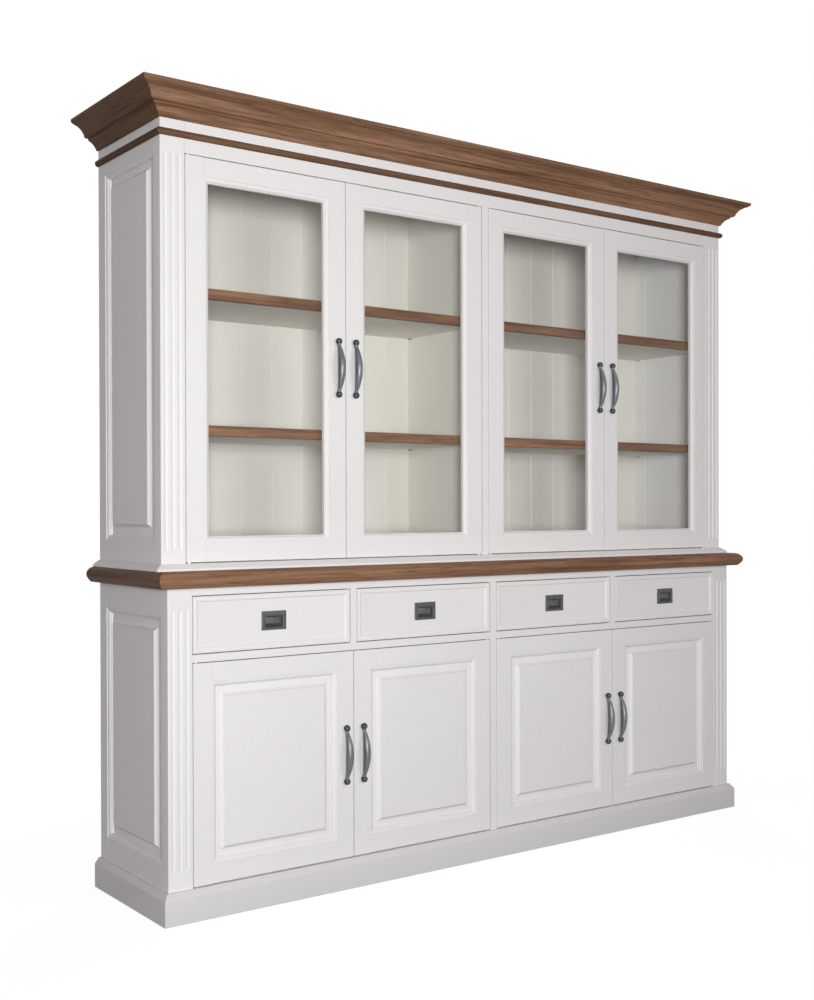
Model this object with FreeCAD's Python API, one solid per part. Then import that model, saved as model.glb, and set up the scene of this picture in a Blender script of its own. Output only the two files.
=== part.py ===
import FreeCAD, Part
import math
import os

from FreeCAD import Vector

# Driving dimensions in millimetres

# Whole cabinet: two cases of one width, backs in line
TOTAL_HEIGHT = 2300.0
CASE_WIDTH = 2324.0
LOWER_DEPTH = 462.0
UPPER_SETBACK = 38.0

# Boards
FRAME_THICKNESS = 22.0
FLOOR_THICKNESS = 20.0
BACK_THICKNESS = 12.0
BACK_BOARDS = 20
BACK_GROOVE = 1.5
BEARER_THICKNESS = 20.0
BEARERS = 3

# Fronts
PILASTER_WIDTH = 75.0
MID_STILE_WIDTH = 26.0
DIVIDER_WIDTH = 22.0
RAIL_HEIGHT = 22.0
FRIEZE_HEIGHT = 88.0
DRAWER_HEIGHT = 160.0
DOOR_GAP = 2.0
SILL_GAP = 2.5

# Flutes of the pilasters
FLUTES = 3
FLUTE_PITCH = 21.5
FLUTE_WIDTH = 12.0
FLUTE_SINK = 3.0
LOWER_FLUTE_FOOT = 54.0
LOWER_FLUTE_HEAD = 55.0
UPPER_FLUTE_FOOT = 32.0
UPPER_FLUTE_HEAD = 90.0

# Plinth and upper base moulding
PLINTH_HEIGHT = 88.0
PLINTH_OUT = 20.0
PLINTH_BEVEL_UP = 17.0
PLINTH_TOP_FLAT = 7.0
BASE_HEIGHT = 20.0
BASE_OUT = 22.0
BASE_BEVEL_UP = 14.0
BASE_TOP_FLAT = 3.0

# Counter
COUNTER_HEIGHT = 967.0
COUNTER_THICKNESS = 46.0
COUNTER_OUT = 43.0
NOSE_FACE = 10.0
NOSE_UPPER_RUN = 25.0
NOSE_LOWER_RUN = 15.0
NOSE_UPPER_DROP = 17.0
NOSE_UPPER_BULGE = 4.5
NOSE_LOWER_BULGE = 1.5

# Bead below the frieze
BEAD_HEIGHT = 20.0
BEAD_OUT = 11.0
BEAD_BELOW_CROWN = 28.0

# Cornice, from its foot upwards
CROWN_SEAT = 20.0
CROWN_FOOT_OUT = 6.0
CROWN_LOWER_OUT = 26.0
CROWN_LOWER_UP = 27.0
CROWN_LOWER_HOLLOW = 4.0
CROWN_FILLET_UP = 5.0
CROWN_FILLET_OUT = 6.0
CROWN_ROUND = 7.0
CROWN_UPPER_OUT = 31.0
CROWN_UPPER_UP = 28.0
CROWN_UPPER_HOLLOW = 5.0
CROWN_LIP_OUT = 10.0
CROWN_LIP_UP = 6.0
CROWN_TOP_UP = 9.0

# Frames and their fillings
DOOR_STILE = 59.0
DOOR_LOW_RAIL = 57.0
DOOR_TOP_RAIL = 55.0
CHAMFER_WIDTH = 15.0
CHAMFER_DEPTH = 11.0
LIP_THICKNESS = 3.0
GROOVE_WIDTH = 5.0
GROOVE_DEPTH = 8.0
PANEL_PLAY = 0.1
FIELD_SINK = 1.5
SLOPE_RISE = 2.0
STEP_WIDTH = 14.0
DOOR_SLOPE = 14.0
GLASS_THICKNESS = 4.0
SIDE_SLOPE = 18.0
SIDE_BACK_STILE = 49.0
SIDE_FRONT_STILE = 22.0
LOWER_SIDE_LOW_RAIL = 68.0
LOWER_SIDE_TOP_RAIL = 75.0
UPPER_SIDE_LOW_RAIL = 62.0
UPPER_SIDE_TOP_RAIL = 83.0

# Door pivots and stops
PIN_DIAMETER = 5.0
PIN_FIT = 0.05
PIN_IN_DOOR = 20.0
PIN_IN_RAIL = 12.0
COLLAR_DIAMETER = 10.0
COLLAR_PLAY = 0.3
HINGE_INSET = 10.0
HINGE_BACK = 5.5
STOP_WIDTH = 160.0
STOP_DEPTH = 12.0
STOP_LAP = 12.0
STOP_SEAT = 20.0
STOP_PLAY = 0.3

# Bow handles
HANDLE_SPAN = 160.0
BALL_DIAMETER = 19.0
BALL_OUT = 10.0
FOOT_DIAMETER = 12.0
NECK_DIAMETER = 11.5
BELLY_DIAMETER = 21.0
BOW_RISE = 16.0
BOW_RINGS = 16
BOW_OUT_SHARE = 0.85
BOW_SWELL_SHARE = 0.75
BOW_RAMP_SHARE = 0.65
HANDLE_INSET = 30.0
UPPER_HANDLE_LIFT = 5.0
SCREW_DIAMETER = 4.0
SCREW_FIT = 0.1
SCREW_IN_BALL = 8.0
SCREW_HEAD_DIAMETER = 9.0
SCREW_HEAD_HEIGHT = 3.0

# Shelves
UPPER_SHELVES = 2
SHELF_THICKNESS = 30.0
LOWER_SHELF_THICKNESS = 20.0
LIPPING_DEPTH = 20.0
SHELF_SETBACK = 18.0
SHELF_PLAY = 0.5
SHELF_PIN_DIAMETER = 5.0
SHELF_PIN_SET = 10.0
SHELF_PIN_REACH = 12.0
SHELF_PIN_PLAY = 0.05
SHELF_PIN_FROM_FRONT = 6.0
SHELF_PIN_FROM_BACK = 20.0

# Drawers
DRAWER_LIP = 6.0
DRAWER_CHAMFER = 12.0
DRAWER_SINK = 5.5
DRAWER_SIDE = 12.0
DRAWER_BOTTOM = 8.0
DRAWER_BOTTOM_UP = 8.0
DRAWER_BOX_DROP = 15.0
DRAWER_BACK_GAP = 28.0
DRAWER_RUN_GAP = 0.3
GUIDE_HEIGHT = 40.0

# Flush pulls
PULL_WIDTH = 82.0
PULL_HEIGHT = 55.0
PULL_PROUD = 2.0
PULL_BEVEL = 1.5
POCKET_WIDTH = 57.0
POCKET_HEIGHT = 33.0
POCKET_DROP = 4.0
POCKET_DEPTH = 12.0
CUP_WALL = 1.5
CUP_PLAY = 0.2
SCOOP_UP = 9.0
PULL_SCREW_INSET = 6.5
PULL_SCREW_DIAMETER = 3.0
PULL_SCREW_HEAD = 6.5
PULL_SCREW_HEAD_PROUD = 1.2
PULL_SCREW_LENGTH = 12.0
BAIL_SIDE_GAP = 2.0
BAIL_THICKNESS = 3.5
BAIL_SINK = 3.75
BAIL_HEAD = 3.0
BAIL_DROP = 18.0
BAIL_PIVOT_DROP = 5.0
BAIL_BAR_DIAMETER = 5.0
BAIL_PIN_DIAMETER = 3.0
BAIL_PIN_END_GAP = 0.2

# Levels and planes worked out from the driving dimensions

HALF = CASE_WIDTH / 2
INNER_HALF = HALF - FRAME_THICKNESS
BAY_EDGE = HALF - PILASTER_WIDTH
MID_HALF = MID_STILE_WIDTH / 2
UPPER_DEPTH = LOWER_DEPTH - UPPER_SETBACK

CROWN_HEIGHT = (CROWN_LOWER_UP + CROWN_FILLET_UP + CROWN_ROUND + CROWN_UPPER_UP
                + CROWN_LIP_UP + CROWN_TOP_UP)
CROWN_OUT = (CROWN_FOOT_OUT + CROWN_LOWER_OUT + CROWN_FILLET_OUT + CROWN_ROUND
             + CROWN_UPPER_OUT + CROWN_LIP_OUT)
DEEPEST = max(UPPER_DEPTH + CROWN_OUT, LOWER_DEPTH + COUNTER_OUT, LOWER_DEPTH + PLINTH_OUT)
BACK = DEEPEST / 2

LOWER_TOP = COUNTER_HEIGHT - COUNTER_THICKNESS
DRAWER_TOP = LOWER_TOP - RAIL_HEIGHT - DOOR_GAP
DRAWER_FOOT = DRAWER_TOP - DRAWER_HEIGHT
DECK_TOP = DRAWER_FOOT - DOOR_GAP
DECK_FOOT = DECK_TOP - RAIL_HEIGHT
LOWER_DOOR_TOP = DECK_FOOT - DOOR_GAP
LOWER_DOOR_FOOT = PLINTH_HEIGHT + SILL_GAP

SILL_TOP = COUNTER_HEIGHT + BASE_HEIGHT
CASE_TOP = TOTAL_HEIGHT - CROWN_HEIGHT
FRIEZE_FOOT = CASE_TOP - FRIEZE_HEIGHT
UPPER_DOOR_TOP = FRIEZE_FOOT - DOOR_GAP
UPPER_DOOR_FOOT = SILL_TOP + SILL_GAP

LOWER_INNER = LOWER_DEPTH - FRAME_THICKNESS
UPPER_INNER = UPPER_DEPTH - FRAME_THICKNESS
DOOR_WIDTH = (BAY_EDGE - MID_HALF - 3 * DOOR_GAP) / 2
DRAWER_WIDTH = (BAY_EDGE - MID_HALF - DIVIDER_WIDTH - 4 * DOOR_GAP) / 2
DIVIDER_X = MID_HALF + 2 * DOOR_GAP + DRAWER_WIDTH + DIVIDER_WIDTH / 2

SLOT_FRONT = CHAMFER_DEPTH + LIP_THICKNESS
GROOVE_BACK = SLOT_FRONT + GROOVE_WIDTH
LOWER_SHELF_FOOT = (PLINTH_HEIGHT + DECK_FOOT - LOWER_SHELF_THICKNESS) / 2
LEVEL_HEIGHT = (FRIEZE_FOOT - SILL_TOP - UPPER_SHELVES * SHELF_THICKNESS) / (UPPER_SHELVES + 1)
UPPER_SHELF_FEET = [SILL_TOP + LEVEL_HEIGHT + i * (LEVEL_HEIGHT + SHELF_THICKNESS)
                    for i in range(UPPER_SHELVES)]


# Shape helpers

def at(depth):
    """Y of a plane this far in front of the back."""
    return BACK - depth


def box(x0, x1, y0, y1, z0, z1):
    return Part.makeBox(x1 - x0, y1 - y0, z1 - z0, Vector(x0, y0, z0))


def block(x0, x1, d0, d1, z0, z1):
    """Board between two depths measured from the back."""
    return box(x0, x1, at(d1), at(d0), z0, z1)


def rod(diameter, start, end):
    """Round bar from one point to another."""
    return Part.makeCylinder(diameter / 2, (end - start).Length, start, end - start)


def mirrored(shape):
    """The same piece on the other side of the middle plane."""
    return shape.mirror(Vector(0, 0, 0), Vector(1, 0, 0))


def with_mirrored(shapes):
    return list(shapes) + [mirrored(shape) for shape in shapes]


def moved(shape, x, y, z):
    copy = shape.copy()
    copy.translate(Vector(x, y, z))
    return copy


def one_solid(shape):
    if len(shape.Solids) != 1:
        raise ValueError("expected one solid, got %d" % len(shape.Solids))
    return shape.removeSplitter().Solids[0]


def rectangle(rect, y):
    """Closed upright wire at distance y behind a face, rect being x0, x1, z0, z1."""
    x0, x1, z0, z1 = rect
    corners = [Vector(x0, y, z0), Vector(x1, y, z0), Vector(x1, y, z1), Vector(x0, y, z1)]
    return Part.makePolygon(corners + corners[:1])


def tapered(front, front_y, rear, rear_y):
    """Solid between two upright rectangles."""
    return Part.makeLoft([rectangle(front, front_y), rectangle(rear, rear_y)], True, True)


def grown(rect, by):
    x0, x1, z0, z1 = rect
    return (x0 - by, x1 + by, z0 - by, z1 + by)


def slab(rect, y0, y1):
    x0, x1, z0, z1 = rect
    return box(x0, x1, y0, y1, z0, z1)


def prism(corners, along):
    """Solid swept from a closed outline of points."""
    return Part.Face(Part.makePolygon(corners + corners[:1])).extrude(along)


def outline_face(start, runs):
    """Face in the out-and-up plane; a run of one point is straight, one of two is an arc."""
    edges = []
    here = Vector(start[0], 0, start[1])
    for run in runs:
        points = [Vector(out, 0, up) for out, up in run]
        if len(points) == 1:
            edges.append(Part.makeLine(here, points[0]))
        else:
            edges.append(Part.Arc(here, points[0], points[1]).toShape())
        here = points[-1]
    edges.append(Part.makeLine(here, Vector(start[0], 0, start[1])))
    return Part.Face(Part.Wire(edges))


def hollow_point(start, end, sag):
    """Middle of an arc that sinks by sag from the chord, up and inwards."""
    out = end[0] - start[0]
    up = end[1] - start[1]
    length = math.hypot(out, up)
    middle = ((start[0] + end[0]) / 2, (start[1] + end[1]) / 2)
    return (middle[0] - sag * up / length, middle[1] + sag * out / length)


def mitred_runs(face, depth, inside):
    """Front, left and right lengths of a moulding, mitred at the front corners of a case."""
    reach = face.BoundBox.XMax
    foot = face.BoundBox.ZMin
    rise = Vector(0, 0, face.BoundBox.ZMax - foot)
    front_y = at(depth)
    far = HALF + reach

    front = face.copy()
    front.rotate(Vector(0, 0, 0), Vector(0, 0, 1), -90)
    front.translate(Vector(-far, front_y, 0))
    front_plan = [Vector(-HALF + inside, front_y + inside, foot), Vector(-far, front_y - reach, foot),
                  Vector(far, front_y - reach, foot), Vector(HALF - inside, front_y + inside, foot)]
    front = front.extrude(Vector(2 * far, 0, 0)).common(prism(front_plan, rise))

    left = face.copy()
    left.rotate(Vector(0, 0, 0), Vector(0, 0, 1), 180)
    left.translate(Vector(-HALF, BACK, 0))
    left_plan = [Vector(-HALF + inside, BACK, foot), Vector(-far, BACK, foot),
                 Vector(-far, front_y - reach, foot), Vector(-HALF + inside, front_y + inside, foot)]
    left = left.extrude(Vector(0, front_y - reach - BACK, 0)).common(prism(left_plan, rise))
    return [one_solid(front)] + with_mirrored([one_solid(left)])


# Mouldings carried round the cases

def plinth():
    bevel_foot = PLINTH_HEIGHT - PLINTH_BEVEL_UP
    face = outline_face((0, 0), [
        [(PLINTH_OUT, 0)], [(PLINTH_OUT, bevel_foot)],
        [(PLINTH_TOP_FLAT, PLINTH_HEIGHT)], [(0, PLINTH_HEIGHT)]])
    return mitred_runs(face, LOWER_DEPTH, 0)


def upper_base_moulding():
    bevel_foot = SILL_TOP - BASE_BEVEL_UP
    face = outline_face((0, COUNTER_HEIGHT), [
        [(BASE_OUT, COUNTER_HEIGHT)], [(BASE_OUT, bevel_foot)],
        [(BASE_TOP_FLAT, SILL_TOP)], [(0, SILL_TOP)]])
    return mitred_runs(face, UPPER_DEPTH, 0)


def counter_edging():
    lower_start = (COUNTER_OUT - NOSE_LOWER_RUN, LOWER_TOP)
    face_top = (COUNTER_OUT, COUNTER_HEIGHT - NOSE_UPPER_DROP)
    face_foot = (COUNTER_OUT, COUNTER_HEIGHT - NOSE_UPPER_DROP - NOSE_FACE)
    upper_end = (COUNTER_OUT - NOSE_UPPER_RUN, COUNTER_HEIGHT)
    face = outline_face((0, LOWER_TOP), [
        [lower_start],
        [hollow_point(lower_start, face_foot, -NOSE_LOWER_BULGE), face_foot],
        [face_top],
        [hollow_point(face_top, upper_end, -NOSE_UPPER_BULGE), upper_end],
        [(0, COUNTER_HEIGHT)]])
    return mitred_runs(face, LOWER_DEPTH, 0)


def bead_moulding():
    top = CASE_TOP - BEAD_BELOW_CROWN
    foot = top - BEAD_HEIGHT
    face = outline_face((0, foot), [[(BEAD_OUT, (foot + top) / 2), (0, top)]])
    return mitred_runs(face, UPPER_DEPTH, 0)


def cornice():
    foot = (CROWN_FOOT_OUT, CASE_TOP)
    lower = (foot[0] + CROWN_LOWER_OUT, foot[1] + CROWN_LOWER_UP)
    fillet = (lower[0], lower[1] + CROWN_FILLET_UP)
    round_foot = (fillet[0] + CROWN_FILLET_OUT, fillet[1])
    round_end = (round_foot[0] + CROWN_ROUND, round_foot[1] + CROWN_ROUND)
    quarter = CROWN_ROUND * math.sqrt(0.5)
    round_mid = (round_foot[0] + quarter, round_end[1] - quarter)
    upper = (round_end[0] + CROWN_UPPER_OUT, round_end[1] + CROWN_UPPER_UP)
    lip = (upper[0] + CROWN_LIP_OUT, upper[1] + CROWN_LIP_UP)
    face = outline_face((-CROWN_SEAT, CASE_TOP), [
        [foot],
        [hollow_point(foot, lower, CROWN_LOWER_HOLLOW), lower],
        [fillet], [round_foot],
        [round_mid, round_end],
        [hollow_point(round_end, upper, CROWN_UPPER_HOLLOW), upper],
        [lip], [(lip[0], TOTAL_HEIGHT)], [(-CROWN_SEAT, TOTAL_HEIGHT)]])
    back_half = HALF - CROWN_SEAT
    back_rail = block(-back_half, back_half, 0, CROWN_SEAT, CASE_TOP, TOTAL_HEIGHT)
    return mitred_runs(face, UPPER_DEPTH, CROWN_SEAT) + [back_rail]


# Frames and fillings, made with the face at y = 0 and the lower left corner at the origin

def sight_rects(width, height, left, right, low, high):
    """Edge of the flat face and edge of the lip round a frame's opening."""
    flat = (left, width - right, low, height - high)
    return flat, grown(flat, -CHAMFER_WIDTH)


def frame_pieces(width, height, left, right, low, high, slot_back):
    """Left stile, right stile, low rail and high rail, with mitred chamfers and a slot behind."""
    flat, lip = sight_rects(width, height, left, right, low, high)
    ring = box(0, width, 0, FRAME_THICKNESS, 0, height)
    ring = ring.cut(tapered(flat, 0, lip, CHAMFER_DEPTH))
    ring = ring.cut(slab(lip, 0, FRAME_THICKNESS))
    ring = ring.cut(slab(grown(lip, GROOVE_DEPTH), SLOT_FRONT, slot_back))
    fx0, fx1, fz0, fz1 = flat
    lx0, lx1, lz0, lz1 = lip
    outlines = [
        [(0, 0), (fx0, 0), (fx0, fz0), (lx0, lz0), (lx0, lz1), (fx0, fz1), (fx0, height), (0, height)],
        [(width, 0), (width, height), (fx1, height), (fx1, fz1), (lx1, lz1), (lx1, lz0), (fx1, fz0),
         (fx1, 0)],
        [(fx0, 0), (fx1, 0), (fx1, fz0), (lx1, lz0), (lx0, lz0), (fx0, fz0)],
        [(fx0, height), (fx0, fz1), (lx0, lz1), (lx1, lz1), (fx1, fz1), (fx1, height)]]
    through = Vector(0, FRAME_THICKNESS, 0)
    return [one_solid(ring.common(prism([Vector(x, 0, z) for x, z in outline], through)))
            for outline in outlines]


def raised_panel(lip, slope):
    """Panel held in the grooves, rising by a gentle slope and then a steep step to its field."""
    seat = SLOT_FRONT + PANEL_PLAY
    tongue = slab(grown(lip, GROOVE_DEPTH - PANEL_PLAY), seat, GROOVE_BACK - PANEL_PLAY)
    sight = grown(lip, -PANEL_PLAY)
    step_foot = grown(sight, -slope)
    step_y = seat - SLOPE_RISE
    sloped = tapered(step_foot, step_y, sight, seat)
    raised = tapered(grown(step_foot, -STEP_WIDTH), FIELD_SINK, step_foot, step_y)
    return one_solid(tongue.fuse([sloped, raised]))


def glazing(lip):
    """Glass pane in the rebate, and the four beads that hold it."""
    x0, x1, z0, z1 = grown(lip, GROOVE_DEPTH)
    glass_back = SLOT_FRONT + GLASS_THICKNESS
    glass = slab(grown(lip, GROOVE_DEPTH - PANEL_PLAY), SLOT_FRONT, glass_back)
    beads = [slab((x0, lip[0], z0, z1), glass_back, FRAME_THICKNESS),
             slab((lip[1], x1, z0, z1), glass_back, FRAME_THICKNESS),
             slab((lip[0], lip[1], z0, lip[2]), glass_back, FRAME_THICKNESS),
             slab((lip[0], lip[1], lip[3], z1), glass_back, FRAME_THICKNESS)]
    return glass, beads


# Case pieces

def on_left_side(shape, foot):
    """Turn a piece made for the front so that it faces left, its first edge at the back."""
    side = shape.copy()
    side.rotate(Vector(0, 0, 0), Vector(0, 0, 1), -90)
    side.translate(Vector(-HALF, BACK, foot))
    return side


def side_case(foot, top, depth, low, high):
    """Frame pieces and panel of one case's left side."""
    size = (depth, top - foot, SIDE_BACK_STILE, SIDE_FRONT_STILE, low, high)
    pieces = frame_pieces(*size, GROOVE_BACK)
    panel = raised_panel(sight_rects(*size)[1], SIDE_SLOPE)
    return [on_left_side(piece, foot) for piece in pieces], on_left_side(panel, foot)


def side_frames_and_panels():
    lower_frame, lower_panel = side_case(
        0, LOWER_TOP, LOWER_INNER, PLINTH_HEIGHT + LOWER_SIDE_LOW_RAIL, LOWER_SIDE_TOP_RAIL)
    upper_frame, upper_panel = side_case(
        COUNTER_HEIGHT, CASE_TOP, UPPER_INNER, BASE_HEIGHT + UPPER_SIDE_LOW_RAIL, UPPER_SIDE_TOP_RAIL)
    holes = shelf_pin_holes()
    frames = [drilled(piece, holes) for piece in with_mirrored(lower_frame + upper_frame)]
    return frames, with_mirrored([lower_panel, upper_panel])


def flute(x, face_y, foot, top):
    """Round-ended groove, as the solid to be cut away."""
    radius = (FLUTE_WIDTH ** 2 / 4 + FLUTE_SINK ** 2) / (2 * FLUTE_SINK)
    start = Vector(x, face_y - radius + FLUTE_SINK, foot + radius)
    end = Vector(x, face_y - radius + FLUTE_SINK, top - radius)
    groove = Part.makeCylinder(radius, (end - start).Length, start)
    return groove.fuse([Part.makeSphere(radius, start), Part.makeSphere(radius, end)])


def pilaster(foot, top, depth, flute_foot, flute_top):
    board = block(-HALF, -BAY_EDGE, depth - FRAME_THICKNESS, depth, foot, top)
    for i in range(FLUTES):
        x = -HALF + PILASTER_WIDTH / 2 + (i - (FLUTES - 1) / 2) * FLUTE_PITCH
        board = board.cut(flute(x, at(depth), flute_foot, flute_top))
    return one_solid(board)


def pilasters():
    lower = pilaster(0, LOWER_TOP, LOWER_DEPTH,
                     PLINTH_HEIGHT + LOWER_FLUTE_FOOT, LOWER_TOP - LOWER_FLUTE_HEAD)
    upper = pilaster(COUNTER_HEIGHT, CASE_TOP, UPPER_DEPTH,
                     SILL_TOP + UPPER_FLUTE_FOOT, CASE_TOP - UPPER_FLUTE_HEAD)
    return with_mirrored([lower, upper])


def face_frames():
    """Rails and stiles between the pilasters, flush with their faces."""
    low, high = LOWER_INNER, LOWER_DEPTH
    divider_half = DIVIDER_WIDTH / 2
    lower = [block(-BAY_EDGE, BAY_EDGE, low, high, 0, PLINTH_HEIGHT),
             block(-BAY_EDGE, BAY_EDGE, low, high, DECK_FOOT, DECK_TOP),
             block(-BAY_EDGE, BAY_EDGE, low, high, LOWER_TOP - RAIL_HEIGHT, LOWER_TOP),
             block(-MID_HALF, MID_HALF, low, high, PLINTH_HEIGHT, DECK_FOOT),
             block(-MID_HALF, MID_HALF, low, high, DECK_TOP, LOWER_TOP - RAIL_HEIGHT)]
    divider = block(-DIVIDER_X - divider_half, -DIVIDER_X + divider_half, low, high,
                    DECK_TOP, LOWER_TOP - RAIL_HEIGHT)
    low, high = UPPER_INNER, UPPER_DEPTH
    upper = [block(-BAY_EDGE, BAY_EDGE, low, high, COUNTER_HEIGHT, SILL_TOP),
             block(-BAY_EDGE, BAY_EDGE, low, high, FRIEZE_FOOT, CASE_TOP),
             block(-MID_HALF, MID_HALF, low, high, SILL_TOP, FRIEZE_FOOT)]
    bores = [rod(PIN_DIAMETER + 2 * PIN_FIT, start, end) for start, end in hinge_pin_lines()]
    return [drilled(piece, bores) for piece in lower + with_mirrored([divider]) + upper]


def floors_and_top():
    """Lower floor on its bearers, upper floor and upper top."""
    lower_foot = PLINTH_HEIGHT - FLOOR_THICKNESS
    panels = [block(-INNER_HALF, INNER_HALF, BACK_THICKNESS, LOWER_INNER, lower_foot, PLINTH_HEIGHT),
              block(-INNER_HALF, INNER_HALF, BACK_THICKNESS, UPPER_INNER, COUNTER_HEIGHT, SILL_TOP),
              block(-INNER_HALF, INNER_HALF, BACK_THICKNESS, UPPER_INNER,
                    CASE_TOP - FLOOR_THICKNESS, CASE_TOP)]
    spacing = 2 * INNER_HALF / (BEARERS + 1)
    for i in range(BEARERS):
        middle = -INNER_HALF + (i + 1) * spacing
        panels.append(block(middle - BEARER_THICKNESS / 2, middle + BEARER_THICKNESS / 2,
                            BACK_THICKNESS, LOWER_INNER, 0, lower_foot))
    return panels


def partitions():
    lower = block(-MID_HALF, MID_HALF, BACK_THICKNESS, LOWER_INNER, PLINTH_HEIGHT, LOWER_TOP)
    upper = block(-MID_HALF, MID_HALF, BACK_THICKNESS, UPPER_INNER, SILL_TOP, CASE_TOP - FLOOR_THICKNESS)
    holes = shelf_pin_holes()
    return [drilled(lower, holes), drilled(upper, holes)]


def drawer_runners():
    """Deck that the drawers slide on, and the guides beside them."""
    deck = block(-INNER_HALF, -MID_HALF, BACK_THICKNESS, LOWER_INNER, DECK_FOOT, DECK_TOP)
    outer = block(-INNER_HALF, -BAY_EDGE, BACK_THICKNESS, LOWER_INNER, DECK_TOP, DECK_TOP + GUIDE_HEIGHT)
    middle = block(-DIVIDER_X - DIVIDER_WIDTH / 2, -DIVIDER_X + DIVIDER_WIDTH / 2,
                   BACK_THICKNESS, LOWER_INNER, DECK_TOP, DECK_TOP + GUIDE_HEIGHT)
    return with_mirrored([deck, outer, middle])


def back_boards():
    """Upright boards with a small groove at every joint."""
    pitch = 2 * INNER_HALF / BACK_BOARDS
    face_y = at(BACK_THICKNESS)
    boards = []
    for foot, top in ((0, LOWER_TOP), (COUNTER_HEIGHT, CASE_TOP)):
        for i in range(BACK_BOARDS):
            x0 = -INNER_HALF + i * pitch
            x1 = x0 + pitch
            plan = [Vector(x0, BACK, foot), Vector(x0, face_y + BACK_GROOVE, foot),
                    Vector(x0 + BACK_GROOVE, face_y, foot), Vector(x1 - BACK_GROOVE, face_y, foot),
                    Vector(x1, face_y + BACK_GROOVE, foot), Vector(x1, BACK, foot)]
            boards.append(prism(plan, Vector(0, 0, top - foot)))
    return boards


def counter_top():
    return [block(-HALF, HALF, 0, LOWER_DEPTH, LOWER_TOP, COUNTER_HEIGHT)]


# Shelves

def shelf_levels():
    """Underside and front depth of every shelf level."""
    levels = [(foot, UPPER_INNER - SHELF_SETBACK) for foot in UPPER_SHELF_FEET]
    return levels + [(LOWER_SHELF_FOOT, LOWER_INNER - SHELF_SETBACK)]


def shelf_pin_points():
    """Point where each pin of the left bay leaves its wall, and the way it points."""
    points = []
    for foot, front in shelf_levels():
        z = foot - SHELF_PIN_DIAMETER / 2 - SHELF_PIN_PLAY
        for depth in (BACK_THICKNESS + SHELF_PIN_FROM_BACK, front - SHELF_PIN_FROM_FRONT):
            points.append((Vector(-INNER_HALF, at(depth), z), Vector(1, 0, 0)))
            points.append((Vector(-MID_HALF, at(depth), z), Vector(-1, 0, 0)))
    return points


def shelf_pins():
    pins = [rod(SHELF_PIN_DIAMETER, wall - way * SHELF_PIN_SET, wall + way * SHELF_PIN_REACH)
            for wall, way in shelf_pin_points()]
    return with_mirrored(pins)


def shelf_pin_holes():
    bore = SHELF_PIN_DIAMETER + 2 * SHELF_PIN_PLAY
    holes = [rod(bore, wall - way * SHELF_PIN_SET, wall + way) for wall, way in shelf_pin_points()]
    return with_mirrored(holes)


def drilled(piece, holes):
    """The piece with those holes cut that reach it."""
    near = [hole for hole in holes if piece.BoundBox.intersect(hole.BoundBox)]
    return one_solid(piece.cut(near)) if near else piece


def shelves_and_lippings():
    x0 = -INNER_HALF + SHELF_PLAY
    x1 = -MID_HALF - SHELF_PLAY
    rear = BACK_THICKNESS + SHELF_PLAY
    shelves = []
    lippings = []
    for foot in UPPER_SHELF_FEET:
        front = UPPER_INNER - SHELF_SETBACK
        seam = front - LIPPING_DEPTH
        shelves.append(block(x0, x1, rear, seam, foot, foot + SHELF_THICKNESS))
        lippings.append(block(x0, x1, seam, front, foot, foot + SHELF_THICKNESS))
    lower_front = LOWER_INNER - SHELF_SETBACK
    lower_top = LOWER_SHELF_FOOT + LOWER_SHELF_THICKNESS
    shelves.append(block(x0, x1, rear, lower_front, LOWER_SHELF_FOOT, lower_top))
    return with_mirrored(shelves), with_mirrored(lippings)


# Doors

def left_bay_doors():
    """Left edge of each left-bay door, and whether it is hung on that edge."""
    outer = -BAY_EDGE + DOOR_GAP
    return [(outer, True), (outer + DOOR_WIDTH + DOOR_GAP, False)]


def hinge_x(edge, hung_left):
    return edge + HINGE_INSET if hung_left else edge + DOOR_WIDTH - HINGE_INSET


def door_cases():
    """Depth, foot and top of the lower and the upper doors."""
    return [(LOWER_DEPTH, LOWER_DOOR_FOOT, LOWER_DOOR_TOP), (UPPER_DEPTH, UPPER_DOOR_FOOT, UPPER_DOOR_TOP)]


def hinge_pin_lines():
    """Ends of every pivot pin, the end in the rail first."""
    lines = []
    for depth, foot, top in door_cases():
        y = at(depth) + HINGE_BACK
        low = (foot - SILL_GAP - PIN_IN_RAIL, foot + PIN_IN_DOOR)
        high = (top + DOOR_GAP + PIN_IN_RAIL, top - PIN_IN_DOOR)
        for edge, hung_left in left_bay_doors():
            x = hinge_x(edge, hung_left)
            for side in (x, -x):
                lines += [(Vector(side, y, start), Vector(side, y, end)) for start, end in (low, high)]
    return lines


def hinge_pins():
    """Pivot pins with the collar that carries the door at its gap."""
    pins = []
    for start, end in hinge_pin_lines():
        way = (end - start).normalize()
        gap = SILL_GAP if way.z > 0 else DOOR_GAP
        seat = start + way * PIN_IN_RAIL
        collar = rod(COLLAR_DIAMETER, seat, seat + way * (gap - COLLAR_PLAY))
        pins.append(one_solid(rod(PIN_DIAMETER, start, end).fuse(collar)))
    return pins


def door_stops():
    """Blocks behind the meeting edges of each pair of doors, under the deck and behind the frieze."""
    x0 = -(MID_HALF + 1.5 * DOOR_GAP + DOOR_WIDTH) - STOP_WIDTH / 2
    x1 = x0 + STOP_WIDTH
    lower = block(x0, x1, LOWER_INNER - STOP_DEPTH, LOWER_INNER - STOP_PLAY,
                  DECK_FOOT - STOP_LAP, DECK_FOOT)
    upper = block(x0, x1, UPPER_INNER - STOP_DEPTH, UPPER_INNER - STOP_PLAY,
                  FRIEZE_FOOT - STOP_LAP, FRIEZE_FOOT)
    seat = block(x0, x1, UPPER_INNER - STOP_DEPTH, UPPER_INNER, FRIEZE_FOOT, FRIEZE_FOOT + STOP_SEAT)
    return with_mirrored([lower, one_solid(upper.fuse(seat))])


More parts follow.
